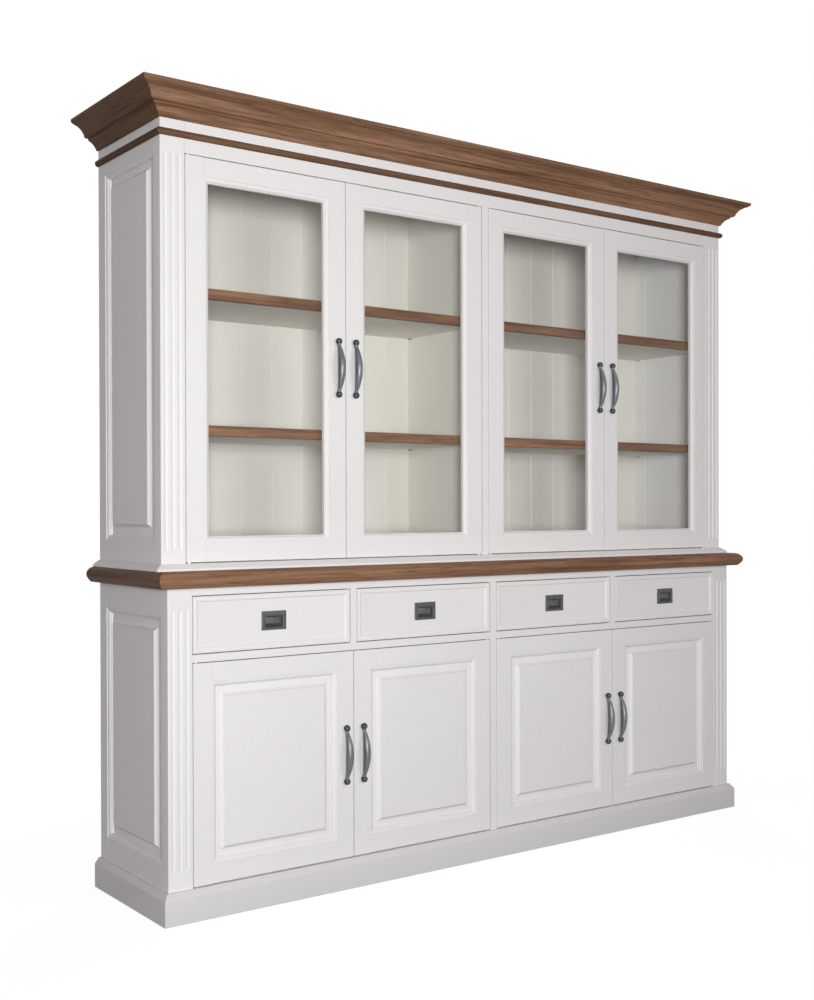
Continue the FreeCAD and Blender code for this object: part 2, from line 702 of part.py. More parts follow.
def smooth_rise(way):
    """Rise from 0 to 1 that starts and ends level."""
    way = min(max(way, 0.0), 1.0)
    return way * way * (3 - 2 * way)


def handle(x, face_y, z):
    """Bow handle with ball ends and its two screws, on an upright face."""
    reach = HANDLE_SPAN / 2
    rings = []
    for i in range(BOW_RINGS + 1):
        up = reach * (2 * i / BOW_RINGS - 1)
        share = abs(up) / reach
        swell = smooth_rise((BOW_SWELL_SHARE - share) / BOW_RAMP_SHARE)
        radius = (NECK_DIAMETER + (BELLY_DIAMETER - NECK_DIAMETER) * swell) / 2
        rise = BOW_RISE * smooth_rise((BOW_OUT_SHARE - share) / BOW_RAMP_SHARE)
        centre = Vector(x, face_y - BALL_OUT - rise, z + up)
        rings.append(Part.Wire(Part.makeCircle(radius, centre)))
    bow = Part.makeLoft(rings, True)
    screws = []
    for up in (-reach, reach):
        seat = Vector(x, face_y, z + up)
        ball = seat + Vector(0, -BALL_OUT, 0)
        inside = seat + Vector(0, FRAME_THICKNESS, 0)
        tip = seat + Vector(0, -SCREW_IN_BALL, 0)
        bow = bow.fuse([Part.makeSphere(BALL_DIAMETER / 2, ball), rod(FOOT_DIAMETER, seat, ball)])
        bow = bow.cut(rod(SCREW_DIAMETER + 2 * SCREW_FIT, seat, tip + Vector(0, -SCREW_FIT, 0)))
        head = rod(SCREW_HEAD_DIAMETER, inside, inside + Vector(0, SCREW_HEAD_HEIGHT, 0))
        screws.append(one_solid(rod(SCREW_DIAMETER, inside, tip).fuse(head)))
    return [one_solid(bow)] + screws


def door_holes(edge, hung_left, depth, foot, top, handle_z):
    """Pivot holes in the hung stile and screw holes in the handle stile."""
    y = at(depth) + HINGE_BACK
    x = hinge_x(edge, hung_left)
    bore = PIN_DIAMETER + 2 * PIN_FIT
    holes = [rod(bore, Vector(x, y, foot), Vector(x, y, foot + PIN_IN_DOOR + PIN_FIT)),
             rod(bore, Vector(x, y, top), Vector(x, y, top - PIN_IN_DOOR - PIN_FIT))]
    x = handle_x(edge, hung_left)
    for up in (-HANDLE_SPAN / 2, HANDLE_SPAN / 2):
        face = Vector(x, at(depth), handle_z + up)
        holes.append(rod(SCREW_DIAMETER + 2 * SCREW_FIT, face, face + Vector(0, FRAME_THICKNESS, 0)))
    return holes


def handle_x(edge, hung_left):
    """Line of the handle on the stile opposite the pivots."""
    return edge + DOOR_WIDTH - HANDLE_INSET if hung_left else edge + HANDLE_INSET


def door(edge, hung_left, depth, foot, top, handle_lift, glazed):
    """Frame solids, filling and handle solids of one door."""
    size = (DOOR_WIDTH, top - foot, DOOR_STILE, DOOR_STILE, DOOR_LOW_RAIL, DOOR_TOP_RAIL)
    lip = sight_rects(*size)[1]
    if glazed:
        pieces = frame_pieces(*size, FRAME_THICKNESS)
        filling, beads = glazing(lip)
        pieces = pieces + beads
    else:
        pieces = frame_pieces(*size, GROOVE_BACK)
        filling = raised_panel(lip, DOOR_SLOPE)
    place = (edge, at(depth), foot)
    handle_z = (foot + top) / 2 + handle_lift
    holes = door_holes(edge, hung_left, depth, foot, top, handle_z)
    frame = [drilled(moved(piece, *place), holes) for piece in pieces]
    grip = handle(handle_x(edge, hung_left), at(depth), handle_z)
    return frame, [moved(filling, *place)], grip


def doors(prefix, depth, foot, top, handle_lift, glazed):
    """All nodes of one row of four doors, numbered from the left."""
    nodes = {}
    filling_name = "glass" if glazed else "panel"
    for i, (edge, hung_left) in enumerate(left_bay_doors()):
        groups = door(edge, hung_left, depth, foot, top, handle_lift, glazed)
        for number, turn in ((i + 1, False), (4 - i, True)):
            for name, solids in zip(("frame", filling_name, "handle"), groups):
                solids = [mirrored(solid) for solid in solids] if turn else solids
                nodes["%s_door_%d_%s" % (prefix, number, name)] = solids
    return nodes


# Drawers

def drawer_front(x0, pull_cuts):
    rect = (x0, x0 + DRAWER_WIDTH, DRAWER_FOOT, DRAWER_TOP)
    face_y = at(LOWER_DEPTH)
    border = grown(rect, -DRAWER_LIP)
    front = slab(rect, face_y, face_y + FRAME_THICKNESS)
    front = front.cut(tapered(border, face_y, grown(border, -DRAWER_CHAMFER), face_y + DRAWER_SINK))
    return [one_solid(front.cut(pull_cuts))]


def drawer_box(x0):
    x1 = x0 + DRAWER_WIDTH
    front = LOWER_INNER
    rear = BACK_THICKNESS + DRAWER_BACK_GAP
    foot = DECK_TOP + DRAWER_RUN_GAP
    top = DRAWER_TOP - DRAWER_BOX_DROP
    bottom = foot + DRAWER_BOTTOM_UP
    inner = (x0 + DRAWER_SIDE, x1 - DRAWER_SIDE)
    return [block(x0, inner[0], rear, front, foot, top),
            block(inner[1], x1, rear, front, foot, top),
            block(*inner, rear, rear + DRAWER_SIDE, foot, top),
            block(*inner, rear + DRAWER_SIDE, front, bottom, bottom + DRAWER_BOTTOM)]


def pull(x, z):
    """Flush pull plate with its cup and screws, the cuts it needs in the drawer front, and the bail."""
    field_y = at(LOWER_DEPTH) + DRAWER_SINK
    plate_y = field_y - PULL_PROUD
    floor_y = plate_y + POCKET_DEPTH
    outer = (x - PULL_WIDTH / 2, x + PULL_WIDTH / 2, z - PULL_HEIGHT / 2, z + PULL_HEIGHT / 2)
    pocket_z = z - POCKET_DROP
    pocket = (x - POCKET_WIDTH / 2, x + POCKET_WIDTH / 2,
              pocket_z - POCKET_HEIGHT / 2, pocket_z + POCKET_HEIGHT / 2)
    cup = grown(pocket, CUP_WALL)
    plate = tapered(grown(outer, -PULL_BEVEL), plate_y, outer, field_y)
    plate = plate.fuse(slab(cup, field_y, floor_y + CUP_WALL))
    hollow = [(plate_y, pocket[2]), (floor_y, pocket[2] + SCOOP_UP),
              (floor_y, pocket[3]), (plate_y, pocket[3])]
    hollow = [Vector(pocket[0], y, up) for y, up in hollow]
    plate = plate.cut(prism(hollow, Vector(POCKET_WIDTH, 0, 0)))

    pivot = Vector(x, plate_y + BAIL_SINK + BAIL_THICKNESS / 2, pocket[3] - BAIL_PIVOT_DROP)
    pin_reach = Vector(POCKET_WIDTH / 2 + CUP_WALL - BAIL_PIN_END_GAP, 0, 0)
    wall_reach = Vector(POCKET_WIDTH / 2 + CUP_WALL, 0, 0)
    plate = plate.cut(rod(BAIL_PIN_DIAMETER + 2 * PIN_FIT, pivot - wall_reach, pivot + wall_reach))

    mortise = slab(grown(cup, CUP_PLAY), field_y, floor_y + CUP_WALL + CUP_PLAY)
    cuts = [mortise]
    screws = []
    for sx in (outer[0] + PULL_SCREW_INSET, outer[1] - PULL_SCREW_INSET):
        for sz in (outer[2] + PULL_SCREW_INSET, outer[3] - PULL_SCREW_INSET):
            seat = Vector(sx, plate_y, sz)
            tip = seat + Vector(0, PULL_SCREW_LENGTH, 0)
            crest = seat - Vector(0, PULL_SCREW_HEAD_PROUD, 0)
            shank = rod(PULL_SCREW_DIAMETER, seat, tip)
            screws.append(one_solid(shank.fuse(rod(PULL_SCREW_HEAD, crest, seat))))
            cuts.append(shank)
    plate = one_solid(plate.cut(cuts[1:]))
    return [plate] + screws, cuts, [bail(x, pivot, pin_reach)]


def bail(x, pivot, pin_reach):
    """Tongue with a rolled lower edge, hung from two pins in the cup's ends."""
    half = POCKET_WIDTH / 2 - BAIL_SIDE_GAP
    front_y = pivot.y - BAIL_THICKNESS / 2
    foot = pivot.z - BAIL_DROP
    bar = Vector(0, pivot.y, foot + BAIL_BAR_DIAMETER / 2)
    tongue = box(x - half, x + half, front_y, front_y + BAIL_THICKNESS, bar.z, pivot.z + BAIL_HEAD)
    tongue = tongue.fuse([rod(BAIL_BAR_DIAMETER, bar + Vector(x - half, 0, 0), bar + Vector(x + half, 0, 0)),
                          rod(BAIL_PIN_DIAMETER, pivot - pin_reach, pivot + pin_reach)])
    return one_solid(tongue)


def drawers():
    """All nodes of the four drawers, numbered from the left."""
    nodes = {}
    outer = -BAY_EDGE + DOOR_GAP
    inner = -MID_HALF - DOOR_GAP - DRAWER_WIDTH
    for i, x0 in enumerate((outer, inner)):
        plate, cuts, tongue = pull(x0 + DRAWER_WIDTH / 2, (DRAWER_FOOT + DRAWER_TOP) / 2)
        groups = {"front": drawer_front(x0, cuts), "box": drawer_box(x0), "pull": plate, "bail": tongue}
        for name, solids in groups.items():
            nodes["drawer_%d_%s" % (i + 1, name)] = solids
            nodes["drawer_%d_%s" % (4 - i, name)] = [mirrored(solid) for solid in solids]
    return nodes


# The whole cabinet

def build():
    """Every node's name and solids."""
    side_frames, side_panels = side_frames_and_panels()
    shelves, lippings = shelves_and_lippings()
    nodes = {
        "plinth": plinth(),
        "side_frames": side_frames,
        "side_panels": side_panels,
        "pilasters": pilasters(),
        "face_frames": face_frames(),
        "floors_and_top": floors_and_top(),
        "partitions": partitions(),
        "drawer_runners": drawer_runners(),
        "shelves": shelves,
        "shelf_lippings": lippings,
        "shelf_pins": shelf_pins(),
        "back_boards": back_boards(),
        "counter_top": counter_top(),
        "counter_edging": counter_edging(),
        "upper_base_moulding": upper_base_moulding(),
        "bead_moulding": bead_moulding(),
        "cornice": cornice(),
        "hinge_pins": hinge_pins(),
        "door_stops": door_stops()}
    nodes.update(doors("upper", UPPER_DEPTH, UPPER_DOOR_FOOT, UPPER_DOOR_TOP, UPPER_HANDLE_LIFT, True))
    nodes.update(doors("lower", LOWER_DEPTH, LOWER_DOOR_FOOT, LOWER_DOOR_TOP, 0, False))
    nodes.update(drawers())
    return nodes


os.makedirs("parts", exist_ok=True)
for node, solids in build().items():
    shape = solids[0] if len(solids) == 1 else Part.makeCompound(solids)
    shape.exportStep("parts/%s.step" % node)
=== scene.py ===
"""Painted hutch with stained oak mouldings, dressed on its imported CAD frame."""

import math

import bmesh
import bpy
import numpy as np
from bpy.props import FloatProperty, FloatVectorProperty, IntProperty, PointerProperty
from mathutils import Matrix, Vector


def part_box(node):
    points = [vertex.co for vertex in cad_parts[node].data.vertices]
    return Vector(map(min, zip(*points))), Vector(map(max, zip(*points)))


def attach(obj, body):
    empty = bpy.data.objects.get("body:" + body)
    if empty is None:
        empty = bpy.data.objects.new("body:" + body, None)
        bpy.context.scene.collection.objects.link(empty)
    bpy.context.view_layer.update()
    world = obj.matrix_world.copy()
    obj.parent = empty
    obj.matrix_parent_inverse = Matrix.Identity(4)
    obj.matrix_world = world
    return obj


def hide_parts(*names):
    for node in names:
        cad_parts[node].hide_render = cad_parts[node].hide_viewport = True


bl_info = {
    "name": "Painted hutch",
    "version": (1, 0, 0),
    "blender": (4, 5, 0),
    "location": "View3D > Sidebar > Hutch",
    "description": "Mouldings, doors, drawers, fittings and finishes of a painted hutch",
    "category": "Object",
}

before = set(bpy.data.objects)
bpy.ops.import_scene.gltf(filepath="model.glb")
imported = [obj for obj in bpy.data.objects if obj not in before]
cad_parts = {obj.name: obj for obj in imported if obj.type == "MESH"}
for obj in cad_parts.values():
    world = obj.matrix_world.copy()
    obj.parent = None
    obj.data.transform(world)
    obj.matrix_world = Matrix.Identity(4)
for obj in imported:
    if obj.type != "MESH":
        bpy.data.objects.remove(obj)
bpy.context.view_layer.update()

MM = 0.001
NUMBERS = (1, 2, 3, 4)

# Material slots of the record
PAINTED = "white_paint"
STAINED = "stained_oak"

# Levels and planes of the CAD frame
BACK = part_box("back_boards")[1].y
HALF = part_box("side_frames")[1].x
LOWER_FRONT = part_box("lower_door_1_frame")[0].y
UPPER_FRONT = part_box("upper_door_1_frame")[0].y
LOWER_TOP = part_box("counter_top")[0].z
COUNTER_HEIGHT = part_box("counter_top")[1].z
CASE_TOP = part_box("cornice")[0].z
BEAD_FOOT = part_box("bead_moulding")[0].z
MID_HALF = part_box("partitions")[1].x


# Sizes and colours that may be changed

def length(name, default, description):
    """A size in metres."""
    return FloatProperty(name=name, description=description, default=default, min=0.0,
                         unit="LENGTH", precision=4)


def colour(name, default, description):
    """A linear colour."""
    return FloatVectorProperty(name=name, description=description, default=default, size=3,
                               min=0.0, max=1.0, subtype="COLOR")


class HutchJoinery(bpy.types.PropertyGroup):
    """Sizes of the frames, panels, pilasters and drawer fronts."""

    arris: length("Arris", 0.0011, "Rounding of the outer edges of stiles, rails and drawer fronts")
    joint_gap: length("Joint gap", 0.0003, "Hairline between a rail and its stiles")
    fit: length("Fit", 0.0006, "How far doors and drawer fronts draw in to widen the gaps round them")
    thickness: length("Frame thickness", 0.022, "Thickness of doors, sides and drawer fronts")
    door_stile: length("Door stile", 0.059, "Flat width of the doors' stiles")
    door_low_rail: length("Door foot rail", 0.057, "Flat height of the doors' lower rails")
    door_top_rail: length("Door top rail", 0.055, "Flat height of the doors' upper rails")
    moulding_width: length("Moulding width", 0.015, "Width of the moulding round an opening")
    moulding_depth: length("Moulding depth", 0.009, "Depth of the moulding round an opening")
    quirk: length("Quirk", 0.0022, "Depth of the small step at the moulding's outer edge")
    rebate: length("Rebate depth", 0.014, "Depth at which a panel or pane is held")
    groove_width: length("Groove width", 0.005, "Width of the groove that holds a panel")
    groove_depth: length("Groove depth", 0.008, "Depth of the groove that holds a panel")
    glass_thickness: length("Glass thickness", 0.004, "Thickness of the panes")
    bead_round: length("Glazing bead round", 0.005, "Rounding of the beads that hold the glass")
    play: length("Panel play", 0.0001, "Clearance of a panel in its groove")
    field_sink: length("Field sink", 0.0015, "How far a panel's field lies behind the frame's face")
    slope_rise: length("Slope rise", 0.002, "Rise of the gentle slope round a panel")
    step_width: length("Step width", 0.014, "Width of the hollow step up to the field")
    door_slope: length("Door slope", 0.014, "Width of the gentle slope on door panels")
    side_slope: length("Side slope", 0.018, "Width of the gentle slope on side panels")
    side_back_stile: length("Side back stile", 0.049, "Flat width of the side's stile at the back")
    side_front_stile: length("Side front stile", 0.022, "Flat width of the side's stile at the front")
    lower_side_low_rail: length("Lower side foot rail", 0.156, "Flat height with the plinth's share")
    lower_side_top_rail: length("Lower side top rail", 0.075, "Flat height below the counter")
    upper_side_low_rail: length("Upper side foot rail", 0.082, "Flat height with the base's share")
    upper_side_top_rail: length("Upper side top rail", 0.083, "Flat height below the cornice")
    pilaster_width: length("Pilaster width", 0.075, "Width of the fluted corner boards")
    flutes: IntProperty(name="Flutes", description="Flutes on each pilaster", default=3, min=1)
    flute_pitch: length("Flute pitch", 0.0215, "Distance between the flutes")
    flute_width: length("Flute width", 0.012, "Width of a flute at the face")
    flute_sink: length("Flute sink", 0.0024, "Depth of a flute")
    lower_flute_foot: length("Lower flute foot", 0.142, "Height of the lower flutes above the floor")
    lower_flute_head: length("Lower flute head", 0.055, "Distance of the lower flutes below the counter")
    upper_flute_foot: length("Upper flute foot", 0.052, "Height of the upper flutes above the counter")
    upper_flute_head: length("Upper flute head", 0.090, "Distance of the upper flutes below the cornice")
    drawer_lip: length("Drawer lip", 0.0048, "Flat edge round a drawer front")
    drawer_moulding: length("Drawer moulding", 0.0140, "Width of the moulding round a drawer's field")
    drawer_sink: length("Drawer sink", 0.0055, "Depth of the drawer front's field")
    lipping_height: length("Lipping height", 0.030, "Height of the oak edge of a shelf")


class HutchFittings(bpy.types.PropertyGroup):
    """Sizes of the bow handles and the flush pulls."""

    span: length("Handle span", 0.160, "Distance between the centres of a handle's ball ends")
    ball: length("Ball", 0.020, "Diameter of the ball ends")
    ball_out: length("Ball stand-off", 0.010, "Distance of the balls' centres from the door")
    neck: length("Neck", 0.0105, "Diameter of the bow beside a ball")
    belly: length("Belly", 0.0222, "Diameter of the bow at its middle")
    bow_rise: length("Bow rise", 0.016, "How far the bow's middle stands out beyond its ends")
    foot: length("Foot", 0.012, "Diameter of the foot below a ball")
    screw: length("Handle screw", 0.004, "Diameter of the handle's screws")
    screw_head: length("Handle screw head", 0.009, "Diameter of their heads inside the door")
    screw_head_height: length("Handle screw head height", 0.003, "Height of their heads")
    plate_width: length("Plate width", 0.082, "Width of a flush pull")
    plate_height: length("Plate height", 0.055, "Height of a flush pull")
    plate_proud: length("Plate thickness", 0.002, "How far the plate stands out of the field")
    plate_bevel: length("Plate bevel", 0.0015, "Bevel round the plate")
    pocket_width: length("Pocket width", 0.057, "Width of the pull's pocket")
    pocket_height: length("Pocket height", 0.033, "Height of the pull's pocket")
    pocket_drop: length("Pocket drop", 0.004, "How far the pocket lies below the plate's middle")
    pocket_depth: length("Pocket depth", 0.012, "Depth of the pocket")
    cup_wall: length("Cup wall", 0.0015, "Thickness of the cup round the pocket")
    cup_play: length("Cup play", 0.0002, "Clearance of the cup in the drawer front")
    scoop: length("Scoop", 0.013, "Rise of the pocket's sloping lower wall")
    rim_width: length("Rim width", 0.0036, "Width of the raised rim round the pocket")
    rim_height: length("Rim height", 0.0008, "Height of the raised rim")
    pull_screw_inset: length("Pull screw inset", 0.0065, "Distance of the screws from the plate's edges")
    pull_screw_head: length("Pull screw head", 0.0065, "Diameter of the pull's screw heads")
    pull_screw_height: length("Pull screw height", 0.0012, "Height of the pull's screw heads")
    tongue_gap: length("Tongue gap", 0.002, "Gap beside the tongue")
    tongue_thickness: length("Tongue thickness", 0.0035, "Thickness of the tongue")
    tongue_sink: length("Tongue sink", 0.00375, "How far the tongue lies behind the plate's face")
    tongue_head: length("Tongue head", 0.003, "Height of the tongue above its pins")
    tongue_drop: length("Tongue drop", 0.018, "Length of the tongue below its pins")
    pivot_drop: length("Pivot drop", 0.005, "Distance of the pins below the pocket's top")
    bar: length("Tongue bar", 0.005, "Diameter of the tongue's rolled lower edge")
    pin: length("Tongue pin", 0.003, "Diameter of the tongue's pins")
    pin_gap: length("Pin end gap", 0.0002, "Clearance at the ends of the pins")


class HutchFinishes(bpy.types.PropertyGroup):
    """Colours of the paint, woods, metals and glass, and the light."""

    paint: colour("Paint", (0.825, 0.815, 0.818), "Outside paint")
    inside_paint: colour("Inside paint", (0.81, 0.795, 0.745), "Paint inside the cases")
    oak_light: colour("Oak, light", (0.378, 0.212, 0.130), "Lighter bands of the stained oak")
    oak_dark: colour("Oak, dark", (0.172, 0.086, 0.049), "Darker bands of the stained oak")
    oak_pore: colour("Oak, pores", (0.060, 0.030, 0.016), "Pores of the stained oak")
    raw_light: colour("Bare wood, light", (0.72, 0.58, 0.41), "Lighter bands of the bare wood")
    raw_dark: colour("Bare wood, dark", (0.58, 0.43, 0.28), "Darker bands of the bare wood")
    raw_pore: colour("Bare wood, pores", (0.42, 0.30, 0.19), "Pores of the bare wood")
    pewter: colour("Pewter", (0.150, 0.159, 0.171), "Bow handles")
    dark_pewter: colour("Dark pewter", (0.085, 0.082, 0.087), "Flush pulls")
    # The ball ends take a darker copy of the bow's pewter.
    black_pewter: colour("Black pewter", (0.055, 0.055, 0.058), "Ball ends of the bow handles")
    steel: colour("Steel", (0.55, 0.55, 0.54), "Pins")
    glass: colour("Glass", (0.957, 0.960, 0.955), "Tint of the panes")
    ambient: colour("Ambient", (0.140, 0.108, 0.105), "Even light from all round")
    key_power: FloatProperty(name="Key light", description="Power of the soft lamp at the left",
                             default=204.0, min=0.0, subtype="POWER")
    front_power: FloatProperty(name="Front light", description="Power of the soft lamp in front",
                               default=23.0, min=0.0, subtype="POWER")
    back_power: FloatProperty(name="Back light", description="Power of the soft lamp behind the hutch",
                              default=90.0, min=0.0, subtype="POWER")


# Outlines and surfaces

LARGEST_EASE = 0.45
SAME_POINT = 1e-7
MERGE_DISTANCE = 1e-6
CREASE = 32.0
FINE_CREASE = 16.0
HANDLE_CREASE = 40.0


def eased(points, radii, steps=4):
    """Closed outline with rounded corners: each corner is a quadratic Bezier curve from one radius before
    the corner to one radius after it, both held below half of the sides that meet there. A radius of
    nought leaves the point as it is."""
    points = np.asarray(points, float)
    before = np.roll(points, 1, 0) - points
    after = np.roll(points, -1, 0) - points
    before_length = np.linalg.norm(before, axis=1)
    after_length = np.linalg.norm(after, axis=1)
    reach = np.minimum(radii, LARGEST_EASE * np.minimum(before_length, after_length))
    start = points + before * (reach / before_length)[:, None]
    end = points + after * (reach / after_length)[:, None]
    s = np.linspace(0.0, 1.0, steps + 1)[None, :, None]
    curve = (1 - s) ** 2 * start[:, None] + 2 * s * (1 - s) * points[:, None] + s ** 2 * end[:, None]
    rows = curve.reshape(-1, points.shape[1])
    return rows[np.linalg.norm(rows - np.roll(rows, 1, 0), axis=1) > SAME_POINT]


def bowed(start, end, sag, steps=12):
    """Points after start, up to end, on the circular arc whose middle leaves the chord by sag, to its
    left."""
    start = np.asarray(start, float)
    end = np.asarray(end, float)
    chord = end - start
    span = np.linalg.norm(chord)
    radius = (span ** 2 / 4 + sag ** 2) / (2 * abs(sag))
    half = math.atan2(span / 2, radius - abs(sag))
    angle = np.linspace(-half, half, steps + 1)[1:, None]
    way = chord / span
    left = np.array([-way[1], way[0]])
    rise = np.sign(sag) * radius * (np.cos(angle) - math.cos(half))
    return (start + end) / 2 + radius * np.sin(angle) * way + rise * left


def outline(*parts):
    """Closed moulding outline in metres. A part is a corner (out, up, rounding) or an arc's points
    (out, up), in mm."""
    points = [np.atleast_2d(np.asarray(part, float)) for part in parts]
    rows = np.concatenate([np.pad(part, ((0, 0), (0, 3 - part.shape[1]))) for part in points])
    return eased(rows[:, :2], rows[:, 2]) * MM


def closed_rows(rows):
    """Closed surface through successive closed rows of equal length: a quad between each pair of neighbours
    on neighbouring rows, and a cap on the first and on the last row."""
    count, size = rows.shape[:2]
    index = np.arange(count * size).reshape(count, size)
    ahead = np.roll(index, -1, axis=1)
    quads = np.stack([index[:-1], ahead[:-1], ahead[1:], index[1:]], axis=-1).reshape(-1, 4)
    return rows.reshape(-1, 3), quads.tolist() + [index[0].tolist(), index[-1].tolist()]


def inset(rect, by):
    """Upright rectangles x0, x1, z0, z1, drawn in on all sides by each given distance."""
    return np.asarray(rect, float) + np.asarray(by, float)[..., None] * np.array([1.0, -1.0, 1.0, -1.0])


def ring_rows(rects, depths):
    """Rows of four corners: each row is an upright rectangle at its own depth."""
    x0, x1, z0, z1 = np.asarray(rects, float).T
    corners = ((x0, z0), (x1, z0), (x1, z1), (x0, z1))
    return np.stack([np.stack([x, depths, z], -1) for x, z in corners], 1)


def rounded_rows(rects, depths, radii, steps=6):
    """Rows of upright rectangles with quarter-circle corners: centre of each corner plus its radius times
    the cosine and sine of an angle that goes once round."""
    x0, x1, z0, z1 = np.asarray(rects, float).T
    radii = np.asarray(radii, float)
    left = x0 + radii
    right = x1 - radii
    low = z0 + radii
    high = z1 - radii
    parts = []
    for quarter, (cx, cz) in enumerate(((right, high), (left, high), (left, low), (right, low))):
        angle = np.linspace(0.0, math.pi / 2, steps)[None, :] + quarter * math.pi / 2
        x = cx[:, None] + radii[:, None] * np.cos(angle)
        z = cz[:, None] + radii[:, None] * np.sin(angle)
        parts.append(np.stack([x, np.broadcast_to(np.asarray(depths)[:, None], x.shape), z], -1))
    return np.concatenate(parts, 1)


def turned(radii, heights, centre, axis, count=28):
    """Turned surface: the profile of radius against height spun once round an axis (0 for X, 1 for Y)."""
    angle = np.linspace(0.0, 2 * math.pi, count, endpoint=False)
    ring = np.stack([np.cos(angle), np.sin(angle)], -1)
    spread = np.asarray(radii, float)[:, None, None] * ring[None]
    height = np.broadcast_to(np.asarray(heights, float)[:, None], spread.shape[:2])
    columns = [spread[..., 0], spread[..., 1]]
    columns.insert(axis, height)
    return closed_rows(np.stack(columns, -1) + np.asarray(centre, float))


def carried(shell, offset):
    """The same surface, moved."""
    verts, faces = shell
    return verts + np.asarray(offset, float), faces


def mirrored(shells):
    """The same surfaces on the other side of the middle plane."""
    return [(verts * np.array([-1.0, 1.0, 1.0]), faces) for verts, faces in shells]


def add_piece(name, shells, body, finish, replaced, crease=CREASE):
    """One object from closed surfaces: doubles merged, faces turned outwards, edges sharper than the crease
    angle kept sharp. A surface may name which of the finishes it takes."""
    finishes = finish if isinstance(finish, list) else [finish]
    starts = np.cumsum([0] + [len(shell[0]) for shell in shells])
    verts = np.concatenate([shell[0] for shell in shells])
    faces = []
    material_of = []
    for shell, start in zip(shells, starts.tolist()):
        faces += [[index + start for index in face] for face in shell[1]]
        material_of += [shell[2] if len(shell) > 2 else 0] * len(shell[1])
    mesh = bpy.data.meshes.new(name)
    mesh.from_pydata(verts.tolist(), [], faces)
    mesh.polygons.foreach_set("material_index", material_of)
    for material in finishes:
        mesh.materials.append(material)
    work = bmesh.new()
    work.from_mesh(mesh)
    bmesh.ops.remove_doubles(work, verts=work.verts, dist=MERGE_DISTANCE)
    bmesh.ops.recalc_face_normals(work, faces=work.faces)
    work.to_mesh(mesh)
    work.free()
    mesh.shade_smooth()
    mesh.set_sharp_from_angle(angle=math.radians(crease))
    piece = bpy.data.objects.new(name, mesh)
    bpy.context.scene.collection.objects.link(piece)
    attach(piece, body)
    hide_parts(*replaced)
    return piece


# Finishes

PAINT_SPECULAR = 0.35
WOOD_SPECULAR = 0.04
OAK_ROUGHNESS = 0.46
BARE_WOOD_ROUGHNESS = 0.62
PANE_IOR = 1.15
PANE_ROUGHNESS = 0.012
# Painted shade: the plinth's paint is the outside paint darkened by this share, for the shade near the
# floor.
PLINTH_SHARE = 0.86
# Painted shade: the oak on the sides of the mouldings is darkened by this share, for the shade on the
# hutch's sides.
OAK_SIDE_SHARE = 0.52
# Painted shade: the bead's oak is darkened by this share.
BEAD_SHARE = 0.58
MATERIALS = {}


class Finish:
    """Builds one material: nodes are added on Object coordinates and linked as they are named."""

    def __init__(self, name):
        self.material = bpy.data.materials.new(name)
        self.material.use_nodes = True
        self.tree = self.material.node_tree
        self.surface = self.tree.nodes["Principled BSDF"]
        self.place = self.tree.nodes.new("ShaderNodeTexCoord").outputs["Object"]

    def add(self, kind, inputs=(), **settings):
        """Shader node with its settings, and its inputs set or linked."""
        made = self.tree.nodes.new("ShaderNode" + kind)
        for key, value in settings.items():
            setattr(made, key, value)
        for key, value in dict(inputs).items():
            self.put(made.inputs[key], value)
        return made

    def put(self, socket, value):
        """Links another node's socket, or sets a plain value."""
        if isinstance(value, bpy.types.NodeSocket):
            self.tree.links.new(value, socket)
        else:
            socket.default_value = value

    def noise(self, scale, stretch=(1.0, 1.0, 1.0), detail=4.0, roughness=0.5, distortion=0.0):
        """Noise from 0 to 1, drawn out along an axis whose stretch is small."""
        place = self.add("Mapping", {"Vector": self.place, "Scale": stretch}).outputs[0]
        made = self.add("TexNoise", {"Vector": place, "Scale": scale, "Detail": detail,
                                     "Roughness": roughness, "Distortion": distortion})
        return made.outputs[0]

    def ramp(self, fac, stops):
        """Colour that passes through the stops (position, colour) as the factor grows."""
        made = self.add("ValToRGB", {"Fac": fac})
        elements = made.color_ramp.elements
        for element, (position, value) in zip((elements[0], elements[-1]), (stops[0], stops[-1])):
            element.position = position
            element.color = (*value, 1.0)
        for position, value in stops[1:-1]:
            elements.new(position).color = (*value, 1.0)
        return made.outputs[0]

    def mix(self, fac, first, second, blend="MIX"):
        """Two colours blended by a factor."""
        made = self.add("Mix", data_type="RGBA", blend_type=blend)
        self.put(made.inputs[0], fac)
        self.put(made.inputs[6], first)
        self.put(made.inputs[7], second)
        return made.outputs[2]

    def spread(self, fac, low, high):
        """Factor from 0 to 1 spread from low to high."""
        made = self.add("MapRange", {"Value": fac, "To Min": low, "To Max": high})
        return made.outputs[0]

    def bump(self, height, distance, strength):
        """Normal of a surface raised by the height times the distance."""
        made = self.add("Bump", {"Height": height, "Distance": distance, "Strength": strength})
        return made.outputs[0]

    def link(self, **inputs):
        """Puts values into the surface's own sockets, named in lower case."""
        for key, value in inputs.items():
            self.put(self.surface.inputs[key.replace("_", " ").title()], value)


def shade(tone, factor):
    """A colour made darker or lighter by a factor."""
    return tuple(value * factor for value in tone)


def paint_finish(name, tone):
    """Satin brushed paint: a slow drift of tone, fine flecks, and upright brush marks in the bump."""
    finish = Finish(name)
    drift = finish.noise(1.9, detail=3.0)
    flecks = finish.noise(140.0, detail=3.0)
    strokes = finish.noise(46.0, stretch=(5.0, 5.0, 0.4), detail=5.0, roughness=0.6)
    base = finish.ramp(drift, [(0.30, shade(tone, 0.975)), (0.68, tone)])
    fleck = finish.ramp(flecks, [(0.34, (0.978, 0.975, 0.972)), (0.52, (1.0, 1.0, 1.0))])
    finish.link(base_color=finish.mix(1.0, base, fleck, "MULTIPLY"),
                roughness=finish.spread(strokes, 0.38, 0.56),
                normal=finish.bump(strokes, 0.0003, 0.22))
    finish.surface.inputs["Specular IOR Level"].default_value = PAINT_SPECULAR
    return finish.material


